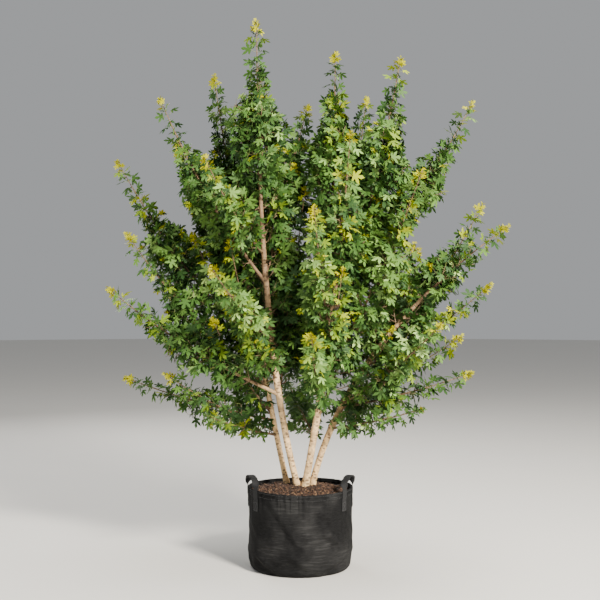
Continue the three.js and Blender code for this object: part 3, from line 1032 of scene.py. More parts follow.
class Space:
    """The strings of balls that the masses of foliage keep to, as in the part's source."""

    TIP_REACH = 47 * MM
    TIP_FLARE = 0.112
    LOW_FLARE = 0.32
    LOW_FROM = 390 * MM
    SLENDER = ("far_left_high", "far_left", "far_right_high", "far_right", "right_side", "back_left",
               "back_high", "back_side", "back_right_high")
    SLENDER_FLARE = 0.085
    FOOT_REACH = 45 * MM
    FOOT_FLARE = 0.7
    STEPS = 22
    FROM = 0.06
    INNER_FROM = 0.40
    INNER_Z = 0.92
    INNER_REACH = 70 * MM
    INNER_FLARE = 0.28
    INNER_MOST = 190 * MM

    def __init__(self, skeleton: Skeleton) -> None:
        """Strings the balls.

        Args:
            skeleton: The limbs along which they lie.
        """
        centres, radii, owners = [], [], []
        for index, limb in enumerate(skeleton.limbs.values()):
            start = max(limb.bare, self.FROM)
            shares = np.linspace(start, 1, self.STEPS + 1)
            to_tip = (1 - shares) * limb.line.length
            to_foot = (shares - start) * limb.line.length
            low = np.maximum(0, to_tip - self.LOW_FROM)
            flare = self.SLENDER_FLARE if limb.name in self.SLENDER else self.TIP_FLARE
            reach = np.minimum(self.TIP_REACH + flare * to_tip + self.LOW_FLARE * low,
                               self.FOOT_REACH + self.FOOT_FLARE * to_foot)
            centres.append(limb.line.at(shares))
            radii.append(np.minimum(limb.spread, reach))
            owners.append(np.full(len(shares), index))
            inner = np.linspace(self.inner_start(limb), start, self.STEPS + 1)
            reach = self.INNER_REACH + self.INNER_FLARE * (inner - inner[0]) * limb.line.length
            centres.append(limb.line.at(inner))
            radii.append(np.minimum(self.INNER_MOST, reach))
            owners.append(np.full(len(inner), index))
        self.centres = np.concatenate(centres)
        self.radii = np.concatenate(radii)
        self.owners = np.concatenate(owners)

    def inner_start(self, limb: Limb) -> float:
        """The share of a limb from which its bare wood has leafy twigs to the back and the sides.

        Args:
            limb: The limb.

        Returns:
            The share.
        """
        if limb.parent is None:
            return limb.line.share_at_height(self.INNER_Z)
        return self.INNER_FROM * max(limb.bare, self.FROM)

    def depths(self, points: Array, owner: int) -> tuple:
        """How deep points lie in their own mass's space and in the nearest other.

        Args:
            points: One a row.
            owner: The mass's number.

        Returns:
            Two arrays, 0 at a ball's centre and 1 at its surface.
        """
        gaps = np.linalg.norm(points[:, None] - self.centres[None], axis=2) / self.radii
        own = self.owners == owner
        return gaps[:, own].min(1), gaps[:, ~own].min(1)

    def reach(self, point: Array, owner: int) -> float:
        """The radius of the mass's ball that lies nearest to a point of its leader.

        Args:
            point: The point.
            owner: The mass's number.

        Returns:
            The radius.
        """
        own = self.owners == owner
        nearest = np.argmin(np.linalg.norm(self.centres[own] - point, axis=1))
        return float(self.radii[own][nearest])


@dataclass
class Twig:
    """A twig as a bent line from its foot, with what its leaves need to know."""

    foot: Vector
    bend: Vector
    end: Vector
    radius: float
    roll: float
    to_tip: float
    limit: float

    @property
    def length(self) -> float:
        """From foot to end."""
        return (self.end - self.foot).length

    def at(self, share: float) -> Vector:
        """A point of the twig."""
        return (1 - share) ** 2 * self.foot + 2 * (1 - share) * share * self.bend + share * share * self.end

    def heading(self, share: float) -> Vector:
        """Its direction there."""
        return ((1 - share) * (self.bend - self.foot) + share * (self.end - self.bend)).normalized()


@dataclass
class Leaf:
    """A leaf on its stalk."""

    foot: Vector
    joint: Vector
    along: Vector
    face: Vector
    length: float
    tint: Tint
    limit: float


def leaning(along: Vector, roll: float, angle: float) -> Vector:
    """A direction at an angle to a shoot, on the side of it that a roll gives."""
    across = along.cross(AHEAD if abs(along.z) > 0.95 else UP).normalized()
    return along * math.cos(angle) + Matrix.Rotation(roll, 3, along) @ across * math.sin(angle)


def quarter_turn(rng: Random, wander: float) -> float:
    """A quarter turn, give or take half of the wander."""
    return QUARTER + (rng.random() - 0.5) * wander


@dataclass
class Crown:
    """Twigs and leaves of all masses, grown by the source's rule and carried to finer twigs."""

    skeleton: Skeleton
    space: Space
    # Where twigs and leaves may be
    lowest: float = 0.612
    lowest_end: float = 0.02
    ragged: float = 0.055
    overlap: float = 0.3
    end_limit: float = 0.97
    tip_limit: float = 1.85
    long_share: float = 0.22
    long_limit: float = 1.22
    front_bare: float = -0.35
    thin_z: tuple = (1.08, 0.25)
    thinning: float = 0.75
    wood_clearance: float = 0.42
    # Side twigs
    twig_angle: float = math.radians(54)
    twig_wander: float = math.radians(16)
    twig_radius: float = 0.0042
    twig_to_limb: float = 0.7
    twig_taper: float = 0.45
    twig_parts: tuple = (0.5, 0.3)
    twigs_from_tip: float = 0.20
    twigless: float = 0.3
    twig_margin: float = 0.75
    node_spacing: tuple = (0.066, 0.042)
    open_zone: float = 0.45
    sag: float = 0.10
    shortest: float = 0.012
    # Finer twigs
    spray_spacing: float = 0.035
    spray_angle: float = math.radians(48)
    spray_shortest: float = 0.030
    spray_longest: float = 0.105
    spray_growth: float = 0.55
    spray_to_twig: float = 0.5
    sprays_from_tip: float = 0.30
    # Leaves
    leaf_spacing: float = 0.025
    leaf_angle: float = math.radians(62)
    leaf_length: float = 0.050
    stalk_length: float = 0.026
    stalk_radius: float = 0.0008
    youngest_leaf: float = 0.27
    youngest_stalk: float = 0.35
    face_turn: float = 0.6
    face_out: float = 0.45
    face_up: float = 0.55
    side_twig_leaves: int = 5
    tip_first: float = 0.004
    tip_zone: float = 0.50
    tip_spacing: tuple = (0.008, 0.028)
    tip_spread: tuple = (0.30, 1.1)
    tip_extra: float = 0.6
    extra_from: float = 0.02
    young_zone: float = 0.10
    growing_share: float = 0.11
    growing_from: tuple = (0.45, 1.0)
    growing_leans: tuple = (0.2, 0.75, 0.75)
    # Colours, with painted light and painted shade
    new_zone: float = 0.078
    newest: float = 0.65
    new_tip: float = 0.7
    lit_z: float = 0.95
    tip_depth: float = 0.8
    fresh_share: float = 0.60
    fresh_zone: float = 0.5
    fresh_back: float = 0.3
    # Painted shade under the crown, near its middle
    painted_shade_width: float = 0.6
    under_z: tuple = (1.15, 0.3)
    painted_shade_share: float = 0.8
    # Painted light: how light a spray's tint is, by its place, with a random spread
    light: float = 0.155
    light_outside: float = 0.42
    light_front: float = 0.14
    light_low: float = 0.06
    light_scatter: float = 0.19
    front_y: tuple = (0.15, 0.7)
    low_z: tuple = (1.75, 0.6)
    leaves: list = field(default_factory=list)
    side_twigs: list = field(default_factory=list)
    spray_twigs: list = field(default_factory=list)

    SIDES = (0, math.pi)
    LOBES = ((0.95, 0), (0.6, 0.5), (0.6, -0.5))
    PAINTED_SHADE_TINTS = (Tint.SHADE, Tint.DEEP, Tint.DEEP, Tint.MIDDLE)
    # Steps of painted light, from painted shade to painted highlight.
    LIGHT_STEPS = (
        (0.29, Tint.SHADE), (0.51, Tint.DEEP), (0.71, Tint.MIDDLE), (0.76, Tint.FRESH), (0.92, Tint.MINT),
    )
    BATCH = 2000
    SEED_STEP = 7919

    def _kept(self, points: Iterable, owner: int, limit: Numbers = 1.0) -> Array:
        """Which points lie in a mass's own space."""
        own, other = self.space.depths(np.array(points), owner)
        return (own < limit) & (own < other + self.overlap)

    def _grown(self, twigs: list, owner: int) -> list:
        """The twigs whose middle and end keep to the mass's space, and which don't hang too low.

        Args:
            twigs: All the twigs.
            owner: The mass's number.

        Returns:
            The twigs that are kept.
        """
        twigs = [twig for twig in twigs if twig.end.z > self.lowest + self.lowest_end]
        if not twigs:
            return []
        limits = np.array([twig.limit for twig in twigs])
        kept = self._kept([twig.end for twig in twigs], owner, self.end_limit * limits)
        kept &= self._kept([twig.at(0.5) for twig in twigs], owner, limits)
        return [twig for twig, fits in zip(twigs, kept) if fits]

    def _side(self, foot: Vector, direction: Vector, length: float, radius: float, roll: float,
              to_tip: float, limit: float) -> Twig:
        """A twig that leaves in a direction and sags a little.

        Args:
            foot: Its place on its parent.
            direction: The way it leaves.
            length: From foot to end.
            radius: Its radius at the foot.
            roll: Its turn round its parent.
            to_tip: Its distance from the leader's tip.
            limit: How far out it may reach, as a part of the mass's own reach.

        Returns:
            The twig.
        """
        end = foot + direction * length
        bend = foot.lerp(end, 0.5) - UP * (self.sag * length)
        return Twig(foot, bend, end, radius, roll, to_tip, limit)

    def _side_twigs(self, limb: Limb, owner: int, rng: Random) -> list:
        """Pairs of side twigs along the leader, turned a quarter each time.

        Args:
            limb: The limb.
            owner: The mass's number.
            rng: Its random numbers.

        Returns:
            The twigs that keep to the mass's space.
        """
        twigs = []
        length = limb.line.length
        bare = max(limb.bare, Space.FROM)
        share = self.space.inner_start(limb)
        roll = rng.uniform(0, math.pi)
        while share < 1 - min(self.twigs_from_tip, self.twigless * length) / length:
            foot, along = Vector(limb.line.at(share)), Vector(limb.line.heading(share))
            reach = self.space.reach(np.array(foot), owner)
            room = reach / math.sin(self.twig_angle) - self.twig_margin * self.leaf_length
            radius = min(self.twig_radius, self.twig_to_limb * float(limb.radius(share)))
            to_tip = (1 - share) * length
            for side in self.SIDES:
                angle = self.twig_angle + (rng.random() - 0.5) * self.twig_wander
                direction = leaning(along, roll + side, angle)
                if share < bare and limb.parent is None and direction.y < self.front_bare:
                    continue
                limit = self.long_limit if rng.random() < self.long_share else 1.0
                for part in (limit * rng.uniform(0.5, 1.0), *self.twig_parts):
                    reached = max(self.shortest, room * part)
                    twig = self._side(foot, direction, reached, radius, roll, to_tip, limit)
                    if self._grown([twig], owner):
                        twigs.append(twig)
                        break
            roll += quarter_turn(rng, 0.5)
            share += lerp(*self.node_spacing, min(1.0, to_tip / self.open_zone)) / length
        return twigs

    def _sprays(self, twig: Twig, rng: Random) -> list:
        """Pairs of finer twigs along a side twig, but none near the leader's tip.

        Args:
            twig: The side twig.
            rng: The mass's random numbers.

        Returns:
            The finer twigs.
        """
        sprays = []
        if twig.to_tip < self.sprays_from_tip * rng.uniform(0.8, 1.2):
            return sprays
        run = self.spray_spacing * rng.uniform(0.5, 0.8)
        roll = twig.roll + rng.uniform(0, math.pi)
        radius = twig.radius * self.spray_to_twig
        while run < twig.length - self.shortest:
            share = run / twig.length
            along = twig.heading(share)
            longest = min(self.spray_longest, self.spray_shortest + self.spray_growth * (twig.length - run))
            for side in self.SIDES:
                direction = leaning(along, roll + side, self.spray_angle * rng.uniform(0.8, 1.2))
                length = longest * rng.uniform(0.75, 1.1)
                foot = twig.at(share)
                sprays.append(self._side(foot, direction, length, radius, roll, twig.to_tip, twig.limit))
            roll += quarter_turn(rng, 0.6)
            run += self.spray_spacing * rng.uniform(0.85, 1.2)
        return sprays

    def _tint(self, spot: Vector, depth: float, to_tip: float, rng: Random) -> Tint:
        """Deals out a leaf colour to a spray, with painted shade and painted light by where the spray lies.

        Args:
            spot: The spray's end.
            depth: How deep it lies in its mass's space, 1 at the outside.
            to_tip: Its distance from the leader's tip.
            rng: The mass's random numbers.

        Returns:
            The tint.
        """
        # Painted shade: low sprays near the middle, under the crown, mostly get dark tints.
        under = below(spot.z, *self.under_z) if abs(spot.x) < self.painted_shade_width else 0.0
        if rng.random() < self.painted_shade_share * under:
            return rng.choice(self.PAINTED_SHADE_TINTS)
        young = to_tip / (self.new_zone * rng.uniform(0.6, 1.2))
        if young < 1:
            return Tint.NEW if young < self.newest else Tint.BRIGHT
        # Fresh growth is dealt mostly at the front, where light falls, and less at the back.
        front = below(spot.y, *self.front_y)
        fresh = self.fresh_share * max(0.0, 1 - to_tip / self.fresh_zone) * lerp(self.fresh_back, 1.0, front)
        if rng.random() < fresh * (1.5 - depth):
            return rng.choice((Tint.FRESH, Tint.BRIGHT))
        # Painted light and shade: the tint is paler at the outside of the mass, at the front and low at the
        # front, and darker deep inside and at the back, with a random spread.
        low = below(spot.z, *self.low_z)
        light = self.light + self.light_outside * depth + self.light_front * front
        light += self.light_low * front * low + rng.gauss(0, self.light_scatter)
        return next((tint for limit, tint in self.LIGHT_STEPS if light < limit), Tint.PALE)

    def _leaf(self, foot: Vector, direction: Vector, to_tip: float, tint: Tint, rng: Random,
              limit: float) -> Leaf:
        """One leaf that leaves a twig in a direction and faces up and out.

        Args:
            foot: Its place on the twig.
            direction: The way that its stalk goes.
            to_tip: The distance from the leader's tip, where leaves are small.
            tint: Its colour.
            rng: The mass's random numbers.
            limit: How far out it may reach, as a part of the mass's own reach.

        Returns:
            The leaf.
        """
        age = min(1.0, to_tip / self.young_zone)
        size = self.leaf_length * lerp(self.youngest_leaf, 1.0, age) * rng.uniform(0.72, 1.12)
        stalk = self.stalk_length * lerp(self.youngest_stalk, 1.0, age)
        joint = foot + direction * (stalk * rng.uniform(0.6, 1.25))
        along = (direction - UP * rng.uniform(0.15, 0.75)).normalized()
        outward = Vector((foot.x, foot.y, 0)).normalized()
        turn = Vector((rng.uniform(-1, 1), rng.uniform(-1, 1), rng.uniform(-1, 1))).normalized()
        face = turn * self.face_turn + outward * self.face_out + UP * self.face_up
        face = (face - along * face.dot(along)).normalized()
        return Leaf(foot, joint, along, face, size, tint, limit)

    def _leaves_on(self, twig: Twig, depth: float, rng: Random) -> list:
        """Opposite pairs of leaves along a twig and a leaf at its end.

        Args:
            twig: The twig.
            depth: How deep its end lies in its mass's space.
            rng: The mass's random numbers.

        Returns:
            The leaves.
        """
        leaves = []
        tint = self._tint(twig.end, depth, twig.to_tip, rng)
        roll = twig.roll + rng.uniform(0, math.pi)
        run = twig.length
        while run > self.shortest:
            share = run / twig.length
            along = twig.heading(share)
            for side in self.SIDES:
                out = leaning(along, roll + side, self.leaf_angle * rng.uniform(0.8, 1.15))
                leaves.append(self._leaf(twig.at(share), out, twig.to_tip, tint, rng, twig.limit))
            roll += quarter_turn(rng, 0.5)
            run -= self.leaf_spacing * rng.uniform(0.85, 1.25)
        depth_from, z_from = self.growing_from
        if depth > depth_from and twig.end.z > z_from and rng.random() < self.growing_share:
            return leaves + self._shoot_end(twig, rng)
        return leaves + [self._leaf(twig.end, twig.heading(1), twig.to_tip, tint, rng, twig.limit)]

    def _shoot_end(self, twig: Twig, rng: Random) -> list:
        """A few small young leaves at the end of a twig that still grows.

        Args:
            twig: The twig.
            rng: The mass's random numbers.

        Returns:
            The leaves.
        """
        leaves = []
        for index, lean in enumerate(self.growing_leans):
            out = leaning(twig.heading(1), twig.roll + index * math.pi, lean)
            tint = rng.choice((Tint.NEW, Tint.BRIGHT))
            leaves.append(self._leaf(twig.end, out, 0.5 * self.young_zone, tint, rng, 1.15 * twig.limit))
        return leaves

    def _tip_leaves(self, limb: Limb, rng: Random) -> list:
        """New leaves in pairs on the last of the leader.

        Args:
            limb: The limb whose leader it is.
            rng: The mass's random numbers.

        Returns:
            The leaves.
        """
        leaves = []
        roll = rng.uniform(0, math.pi)
        run = self.tip_first
        while run < self.tip_zone:
            share = 1 - run / limb.line.length
            foot, along = Vector(limb.line.at(share)), Vector(limb.line.heading(share))
            # Tips high up or out at the sides, where light falls, get the new colour; tips under the crown's
            # middle are left to the painted shade of _tint.
            lit = foot.z > self.lit_z or abs(foot.x) > self.painted_shade_width
            fresh = lit and run < self.new_tip * self.new_zone
            tint = Tint.NEW if fresh else self._tint(foot, self.tip_depth, run, rng)
            for side in self.SIDES:
                spread = lerp(*self.tip_spread, min(1.0, run / self.young_zone))
                angle = spread * self.leaf_angle * rng.uniform(0.85, 1.15)
                out = leaning(along, roll + side, angle)
                leaves.append(self._leaf(foot, out, run, tint, rng, self.tip_limit))
                if run > self.extra_from and rng.random() < self.tip_extra:
                    out = leaning(along, roll + side + 0.8, 0.65 * angle)
                    age = min(run, 0.5 * self.young_zone)
                    leaves.append(self._leaf(foot, out, age, tint, rng, self.tip_limit))
            roll += QUARTER
            run += lerp(*self.tip_spacing, min(1.0, run / self.young_zone))
        return leaves

    def _kept_leaves(self, leaves: list, owner: int) -> list:
        """The leaves whose tip and side lobes keep to the mass's space.

        Args:
            leaves: All the leaves.
            owner: The mass's number.

        Returns:
            The leaves that are kept.
        """
        kept = np.ones(len(leaves), bool)
        limits = np.array([leaf.limit for leaf in leaves])
        for ahead, aside in self.LOBES:
            spots = [leaf.joint + (leaf.along * ahead + leaf.along.cross(leaf.face) * aside) * leaf.length
                     for leaf in leaves]
            kept &= self._kept(spots, owner, limits)
            kept &= np.array([spot.z > self.lowest + self.ragged * noise.noise(spot * 9) for spot in spots])
        return [leaf for leaf, fits in zip(leaves, kept) if fits]

    def _missing(self, height: float) -> float:
        """The share of the sprays that is missing at a height, since the crown opens up below."""
        return self.thinning * below(height, *self.thin_z)

    def grow(self) -> None:
        """Grows every mass."""
        for owner, limb in enumerate(self.skeleton.limbs.values()):
            rng = Random((owner + 1) * self.SEED_STEP)
            sides = self._side_twigs(limb, owner, rng)
            sprays = self._grown([spray for twig in sides for spray in self._sprays(twig, rng)], owner)
            sprays = [spray for spray in sprays if rng.random() > self._missing(spray.end.z)]
            leaves = self._tip_leaves(limb, rng)
            bearing = sides + sprays
            depths, _ = self.space.depths(np.array([twig.end for twig in bearing]), owner)
            for index, (twig, depth) in enumerate(zip(bearing, depths)):
                full = self._leaves_on(twig, float(depth), rng)
                leaves += full[:self.side_twig_leaves] if index < len(sides) else full
            self.side_twigs += sides
            self.spray_twigs += sprays
            self.leaves += self._kept_leaves(leaves, owner)
        self._clear_of_wood()
        LOG.info("leaves %d, side twigs %d, fine twigs %d",
                 len(self.leaves), len(self.side_twigs), len(self.spray_twigs))

    def _clear_of_wood(self) -> None:
        """Drops each leaf that would touch a bare stem or bough."""
        spots, radii = [], []
        for limb in self.skeleton.limbs.values():
            shares = np.linspace(0.01, max(limb.bare, 0.02), 60)
            spots.append(limb.line.at(shares))
            radii.append(limb.radius(shares))
        wood, girth = np.concatenate(spots), np.concatenate(radii)
        centres = np.array([leaf.joint + leaf.along * (0.45 * leaf.length) for leaf in self.leaves])
        sizes = np.array([leaf.length for leaf in self.leaves])
        kept = []
        for start in range(0, len(centres), self.BATCH):
            part = slice(start, start + self.BATCH)
            gaps = np.linalg.norm(centres[part, None] - wood[None], axis=2) - girth
            kept.append(gaps.min(1) > self.wood_clearance * sizes[part])
        self.leaves = [leaf for leaf, fits in zip(self.leaves, np.concatenate(kept)) if fits]


@dataclass
class FoliageMeshes:
    """The crown's twigs, stalks and leaves as joined meshes."""

    crown: Crown

    HALF_LEAF = (
        (0.19, -0.05), (0.48, -0.01), (0.38, 0.13), (0.18, 0.19), (0.49, 0.35), (0.66, 0.66),
        (0.34, 0.58), (0.10, 0.40), (0.185, 0.75),
    )
    NOTCHES = (3, 7)
    CENTRE = (0.0, 0.20)
    CENTRE_LIFT = 0.02
    FOOT_DROP = -0.01
    DROOP = 0.22
    LIFT = 0.05
    CURLS = (0.3, 1.7)
    CURL_SEED = 5
    STALK_END = 0.1
    LEAVES_A_PIECE = 9000

    def _template(self) -> tuple:
        """A leaf with its lobes bent down and its notches up.

        Returns:
            Its points and its triangles.
        """
        right = [(x, y, self._fold(x, y, i in self.NOTCHES)) for i, (x, y) in enumerate(self.HALF_LEAF)]
        left = [(-x, y, z) for x, y, z in reversed(right)]
        outline = [(0, 0, self.FOOT_DROP), *right, (0, 1, self._fold(0, 1, False)), *left]
        points = np.array([(*self.CENTRE, self.CENTRE_LIFT), *outline])
        count = len(outline)
        return points, np.array([(0, 1 + i, 1 + (i + 1) % count) for i in range(count)])

    def _fold(self, x: float, y: float, notch: bool) -> float:
        """How far a point of the outline lies off the leaf's plane."""
        return (self.LIFT if notch else 0) - self.DROOP * (x * x + (y - self.CENTRE[1]) ** 2)

    def build(self, twig_material: Material, stalk_material: Material) -> None:
        """Makes the meshes.

        Args:
            twig_material: For the twigs.
            stalk_material: For the leaves' stalks.
        """
        crown = self.crown
        nodes = crown.skeleton.foliage_nodes()
        for name, twigs, sides, steps in (("side_twigs", crown.side_twigs, 5, 4),
                                          ("fine_twigs", crown.spray_twigs, 3, 3)):
            shares = np.linspace(0, 1, steps)
            lines = np.array([[twig.at(share) for share in shares] for twig in twigs])
            radii = np.array([lerp(twig.radius, crown.twig_taper * twig.radius, shares)
                              for twig in twigs])
            add_tubes(name, lines, radii, sides, twig_material, nodes)
        stalks = np.array([(leaf.foot, leaf.joint + leaf.along * (self.STALK_END * leaf.length))
                           for leaf in crown.leaves])
        add_tubes("leaf_stalks", stalks, crown.stalk_radius, 3, stalk_material, nodes)
        rng = np.random.default_rng(self.CURL_SEED)
        for tint in Tint:
            leaves = [leaf for leaf in crown.leaves if leaf.tint is tint]
            material = tint.value.material()
            for part, start in enumerate(range(0, len(leaves), self.LEAVES_A_PIECE)):
                shape = self._leaf_copies(leaves[start:start + self.LEAVES_A_PIECE], rng)
                piece = joined(f"{tint.value.name}_{part}", *shape)
                finish_piece(piece, material, nodes)

    def _leaf_copies(self, leaves: list, rng: np.random.Generator) -> tuple:
        """Copies the leaf, each time curled in its own way.

        Args:
            leaves: The leaves.
            rng: Random numbers for the curls.

        Returns:
            All the points and all the triangles.
        """
        along = np.array([leaf.along for leaf in leaves])
        face = np.array([leaf.face for leaf in leaves])
        sizes = np.array([leaf.length for leaf in leaves])[:, None]
        curl = rng.uniform(*self.CURLS, (len(leaves), 1))
        axes = np.stack([np.cross(along, face) * sizes, along * sizes, face * sizes * curl], 1)
        feet = np.array([leaf.joint for leaf in leaves])
        return repeated(*self._template(), feet, axes)


# Grow bag


@dataclass(frozen=True)
class Crease:
    """A crease in the wall: its two ends, each as a bearing in degrees and a height, and its depth in mm."""

    from_bearing: float
    from_z: float
    to_bearing: float
    to_z: float
    depth: float


@dataclass
class GrowBag:
    """The round fabric bag, slack and creased, with its folded hem and the stitching on it."""

    rim_radius: float = 0.250
    foot_radius: float = 0.244
    base_radius: float = 0.222
    rounding: float = 0.026
    height: float = 0.385
    cloth: float = 0.0035
    hem_depth: float = 0.032
    hem_proud: float = 0.0016
    hem_lift: float = 0.0012
    hem_ripple: float = 0.0007
    slack: float = 0.0022
    belly: float = 0.0065
    gather: float = 0.0024
    gather_depth: float = 0.07
    gathers: int = 46
    foot_fold: float = 0.0022
    foot_folds: int = 19
    dip: float = 0.0022
    creases: tuple = (
        Crease(-128, 0.36, -86, 0.13, 5.0), Crease(-74, 0.31, -48, 0.25, 4.0),
        Crease(-64, 0.20, -42, 0.145, 7.0), Crease(-146, 0.085, -112, 0.022, 8.5),
        Crease(-66, 0.022, -34, 0.085, 8.0), Crease(-104, 0.10, -78, 0.045, 5.0),
        Crease(-160, 0.24, -132, 0.13, 2.0), Crease(-24, 0.27, 6, 0.15, 3.0),
        Crease(36, 0.33, 78, 0.14, 8.0), Crease(94, 0.22, 132, 0.09, 7.0),
        Crease(60, 0.08, 96, 0.02, 7.0), Crease(148, 0.33, 186, 0.19, 3.0),
        Crease(168, 0.10, 206, 0.02, 4.0), Crease(2, 0.09, 30, 0.02, 4.0),
    )
    crease_width: float = 0.0155
    crease_waver: float = 0.004
    puckers: tuple = (
        (-112, 4.0), (-106.5, 3.0), (-101, 3.6), (-92, 4.2), (-58, 2.0), (-30, 2.8), (-8, 3.2),
        (22, 3.0), (29, 3.8), (36, 2.6), (71, 3.4), (90, 3.0), (97, 4.0), (124, 3.2), (131, 2.6),
        (163, 3.4), (186, 3.0), (224, 2.8), (-138, 2.4),
    )
    pucker_width: float = 0.0042
    pucker_share: float = 0.7
    thread_radius: float = 0.00055
    stitch_length: float = 0.0042
    stitch_gap: float = 0.0022
    stitch_rows: tuple = (("hem_stitches", 0.026), ("rim_stitches", 0.005))

    BASE_PART = (0, 0.18)
    FOOT_PART = (0.18, 0.12)
    WALL_PART = (0.30, 0.70)
    AROUND = 480
    UP_WALL = 96
    ROUND_HEM = 40

    def wall(self, bearing: Array, z: Array) -> Array:
        """The outer radius of the slack wall.

        Args:
            bearing: Angles round the bag.
            z: Heights.

        Returns:
            The radii.
        """
        rise = np.clip(1 - z / self.rounding, 0, 1)
        foot = self.base_radius + (self.foot_radius - self.base_radius) * np.sqrt(1 - rise * rise)
        share = part_of(z, self.rounding, self.height - self.rounding)
        radius = np.where(z < self.rounding, foot, lerp(self.foot_radius, self.rim_radius, share))
        slack = smooth(z, 0.0, 0.09)
        radius += slack * self.slack * (np.sin(3 * bearing + 0.6) + 0.7 * np.sin(5 * bearing + z * 9))
        radius += self.belly * bell(z, 0.09, 0.085) * slack
        under = np.clip((self.height - self.hem_depth - z) / self.gather_depth, 0, 4)
        gather = np.sin(self.gathers * bearing + 2.1 * np.sin(4 * bearing)) * np.cos(7 * bearing + 1) ** 2
        radius += self.gather * gather * np.exp(-under) * smooth(z, 0.12, 0.25)
        fold = np.sin(self.foot_folds * bearing + 1.4 * np.sin(2 * bearing)) * bell(z, 0.045, 0.03)
        radius += self.foot_fold * fold * smooth(z, 0.005, 0.03)
        drawn = self.pucker_share * smooth(z, 0.27, 0.345)
        for at, depth in self.puckers:
            off = wrapped(bearing - math.radians(at)) * self.rim_radius
            groove = bell(off, 0, self.pucker_width) - 0.5 * bell(off, 0.008, 0.005)
            radius -= depth * MM * drawn * groove
        for crease in self.creases:
            radius += self._crease(bearing, z, crease)
        return radius

    def _crease(self, bearing: Array, z: Array, crease: Crease) -> Array:
        """A soft fold along a line on the wall, raised above the line and sunk below it.

        Args:
            bearing: Angles round the bag.
            z: Heights.
            crease: Where it runs and how deep it is.

        Returns:
            What it adds to the radii.
        """
        middle = math.radians((crease.from_bearing + crease.to_bearing) / 2)
        across = wrapped(bearing - middle) * self.rim_radius
        half = (math.radians(crease.to_bearing) - middle) * self.rim_radius
        start = Vector((-half, crease.from_z))
        run = Vector((half, crease.to_z)) - start
        ahead = run.normalized()
        along = ((across - start.x) * ahead.x + (z - start.y) * ahead.y) / run.length
        off = (across - start.x) * ahead.y - (z - start.y) * ahead.x
        off = off + self.crease_waver * np.sin(along * 5)
        ends = smooth(along, -0.12, 0.22) * smooth(-along, -1.12, -0.78)
        ridge = bell(off, 0, self.crease_width) - 0.8 * bell(off, 0.024, 1.3 * self.crease_width)
        return crease.depth * MM * ends * ridge

    def _dip(self, bearing: Array) -> Array:
        """How far the slack rim rises and falls."""
        return self.dip * np.sin(2 * bearing + 0.8)

    def _surface(self, u: Array, v: Array) -> Array:
        """The bag's outer face, from the middle of its base to its rim.

        Args:
            u: Shares round the bag.
            v: Shares from the base's middle to the rim.

        Returns:
            The points.
        """
        bearing = TURN * u
        base, turn, wall = (part_of(v, *part) for part in (self.BASE_PART, self.FOOT_PART, self.WALL_PART))
        z = self.rounding * (1 - np.cos(turn * QUARTER)) + wall * (self.height - self.rounding)
        dip = self._dip(bearing) * smooth(z, 0.30, self.height)
        return round_axis(self.wall(bearing, z) * base, bearing, z + dip)

    def _hem(self, u: Array, v: Array) -> Array:
        """The folded hem as a closed band.

        Args:
            u: Shares round the bag.
            v: Shares round the hem's section.

        Returns:
            The points.
        """
        bearing = TURN * u
        half, thick = self.hem_depth / 2, (self.cloth + 2 * self.hem_proud) / 2
        lean, out = squared(np.sin(TURN * v), 0.25), squared(np.cos(TURN * v), 0.25)
        z = self.height - half + self.hem_lift + half * lean
        radius = self.wall(bearing, np.clip(z, 0, self.height)) - self.cloth / 2 + thick * out
        ripple = self.hem_ripple * np.sin(31 * bearing + 3 * np.sin(3 * bearing)) * (lean < 0)
        return round_axis(radius + ripple, bearing, z + self._dip(bearing))

    def on_wall(self, bearing: float, z: float, off: float) -> Vector:
        """A point a little off the wall."""
        radius = float(self.wall(np.array([bearing]), np.array([z]))[0]) + off
        return Vector((radius * math.cos(bearing), radius * math.sin(bearing), z))

    def _stitches(self, z: float) -> Array:
        """Short lines of thread in a ring round the hem.

        Args:
            z: The ring's height.

        Returns:
            A line of points for each stitch.
        """
        pitch = self.stitch_length + self.stitch_gap
        count = int(TURN * self.rim_radius / pitch)
        half = math.pi * self.stitch_length / (pitch * count)
        up, sunk = (self.hem_proud + self.thread_radius * lift for lift in (0.6, -0.8))
        return np.array([
            [self.on_wall(bearing + half * share, z, off) + UP * float(self._dip(bearing))
             for share, off in ((-1, sunk), (-0.5, up), (0.5, up), (1, sunk))]
            for bearing in (TURN * i / count for i in range(count))])

    def build(self, cloth: Material, thread: Material) -> None:
        """Makes the wall, the hem and its stitching.

        Args:
            cloth: The felted cloth.
            thread: The sewing thread.
        """
        bag = rolled("bag_wall", self.AROUND, self.UP_WALL, self._surface)
        self._open_rim(bag)
        finish_piece(bag, cloth, ["fabric_pot"])
        hem = rolled("bag_hem", self.AROUND, self.ROUND_HEM, self._hem)
        finish_piece(hem, cloth)
        radii = np.array([0.4, 1, 1, 0.4]) * self.thread_radius
        for name, depth in self.stitch_rows:
            add_tubes(name, self._stitches(self.height - depth), radii, 4, thread)

    def _open_rim(self, bag: Object) -> None:
        """Takes the lid off the new bag and gives its cloth a thickness.

        Args:
            bag: The closed bag, still selected.
        """
        bpy.ops.object.mode_set(mode="EDIT")
        bpy.ops.mesh.select_all(action="DESELECT")
        bpy.ops.object.mode_set(mode="OBJECT")
        lid = max(bag.data.polygons, key=lambda face: face.center.z if len(face.vertices) > 4 else -1)
        lid.select = True
        bpy.ops.object.mode_set(mode="EDIT")
        bpy.ops.mesh.select_mode(type="FACE")
        bpy.ops.mesh.delete(type="ONLY_FACE")
        bpy.ops.object.mode_set(mode="OBJECT")
        solid = bag.modifiers.new("thickness", "SOLIDIFY")
        solid.thickness = self.cloth
        solid.offset = -1
        bpy.ops.object.modifier_apply(modifier=solid.name)


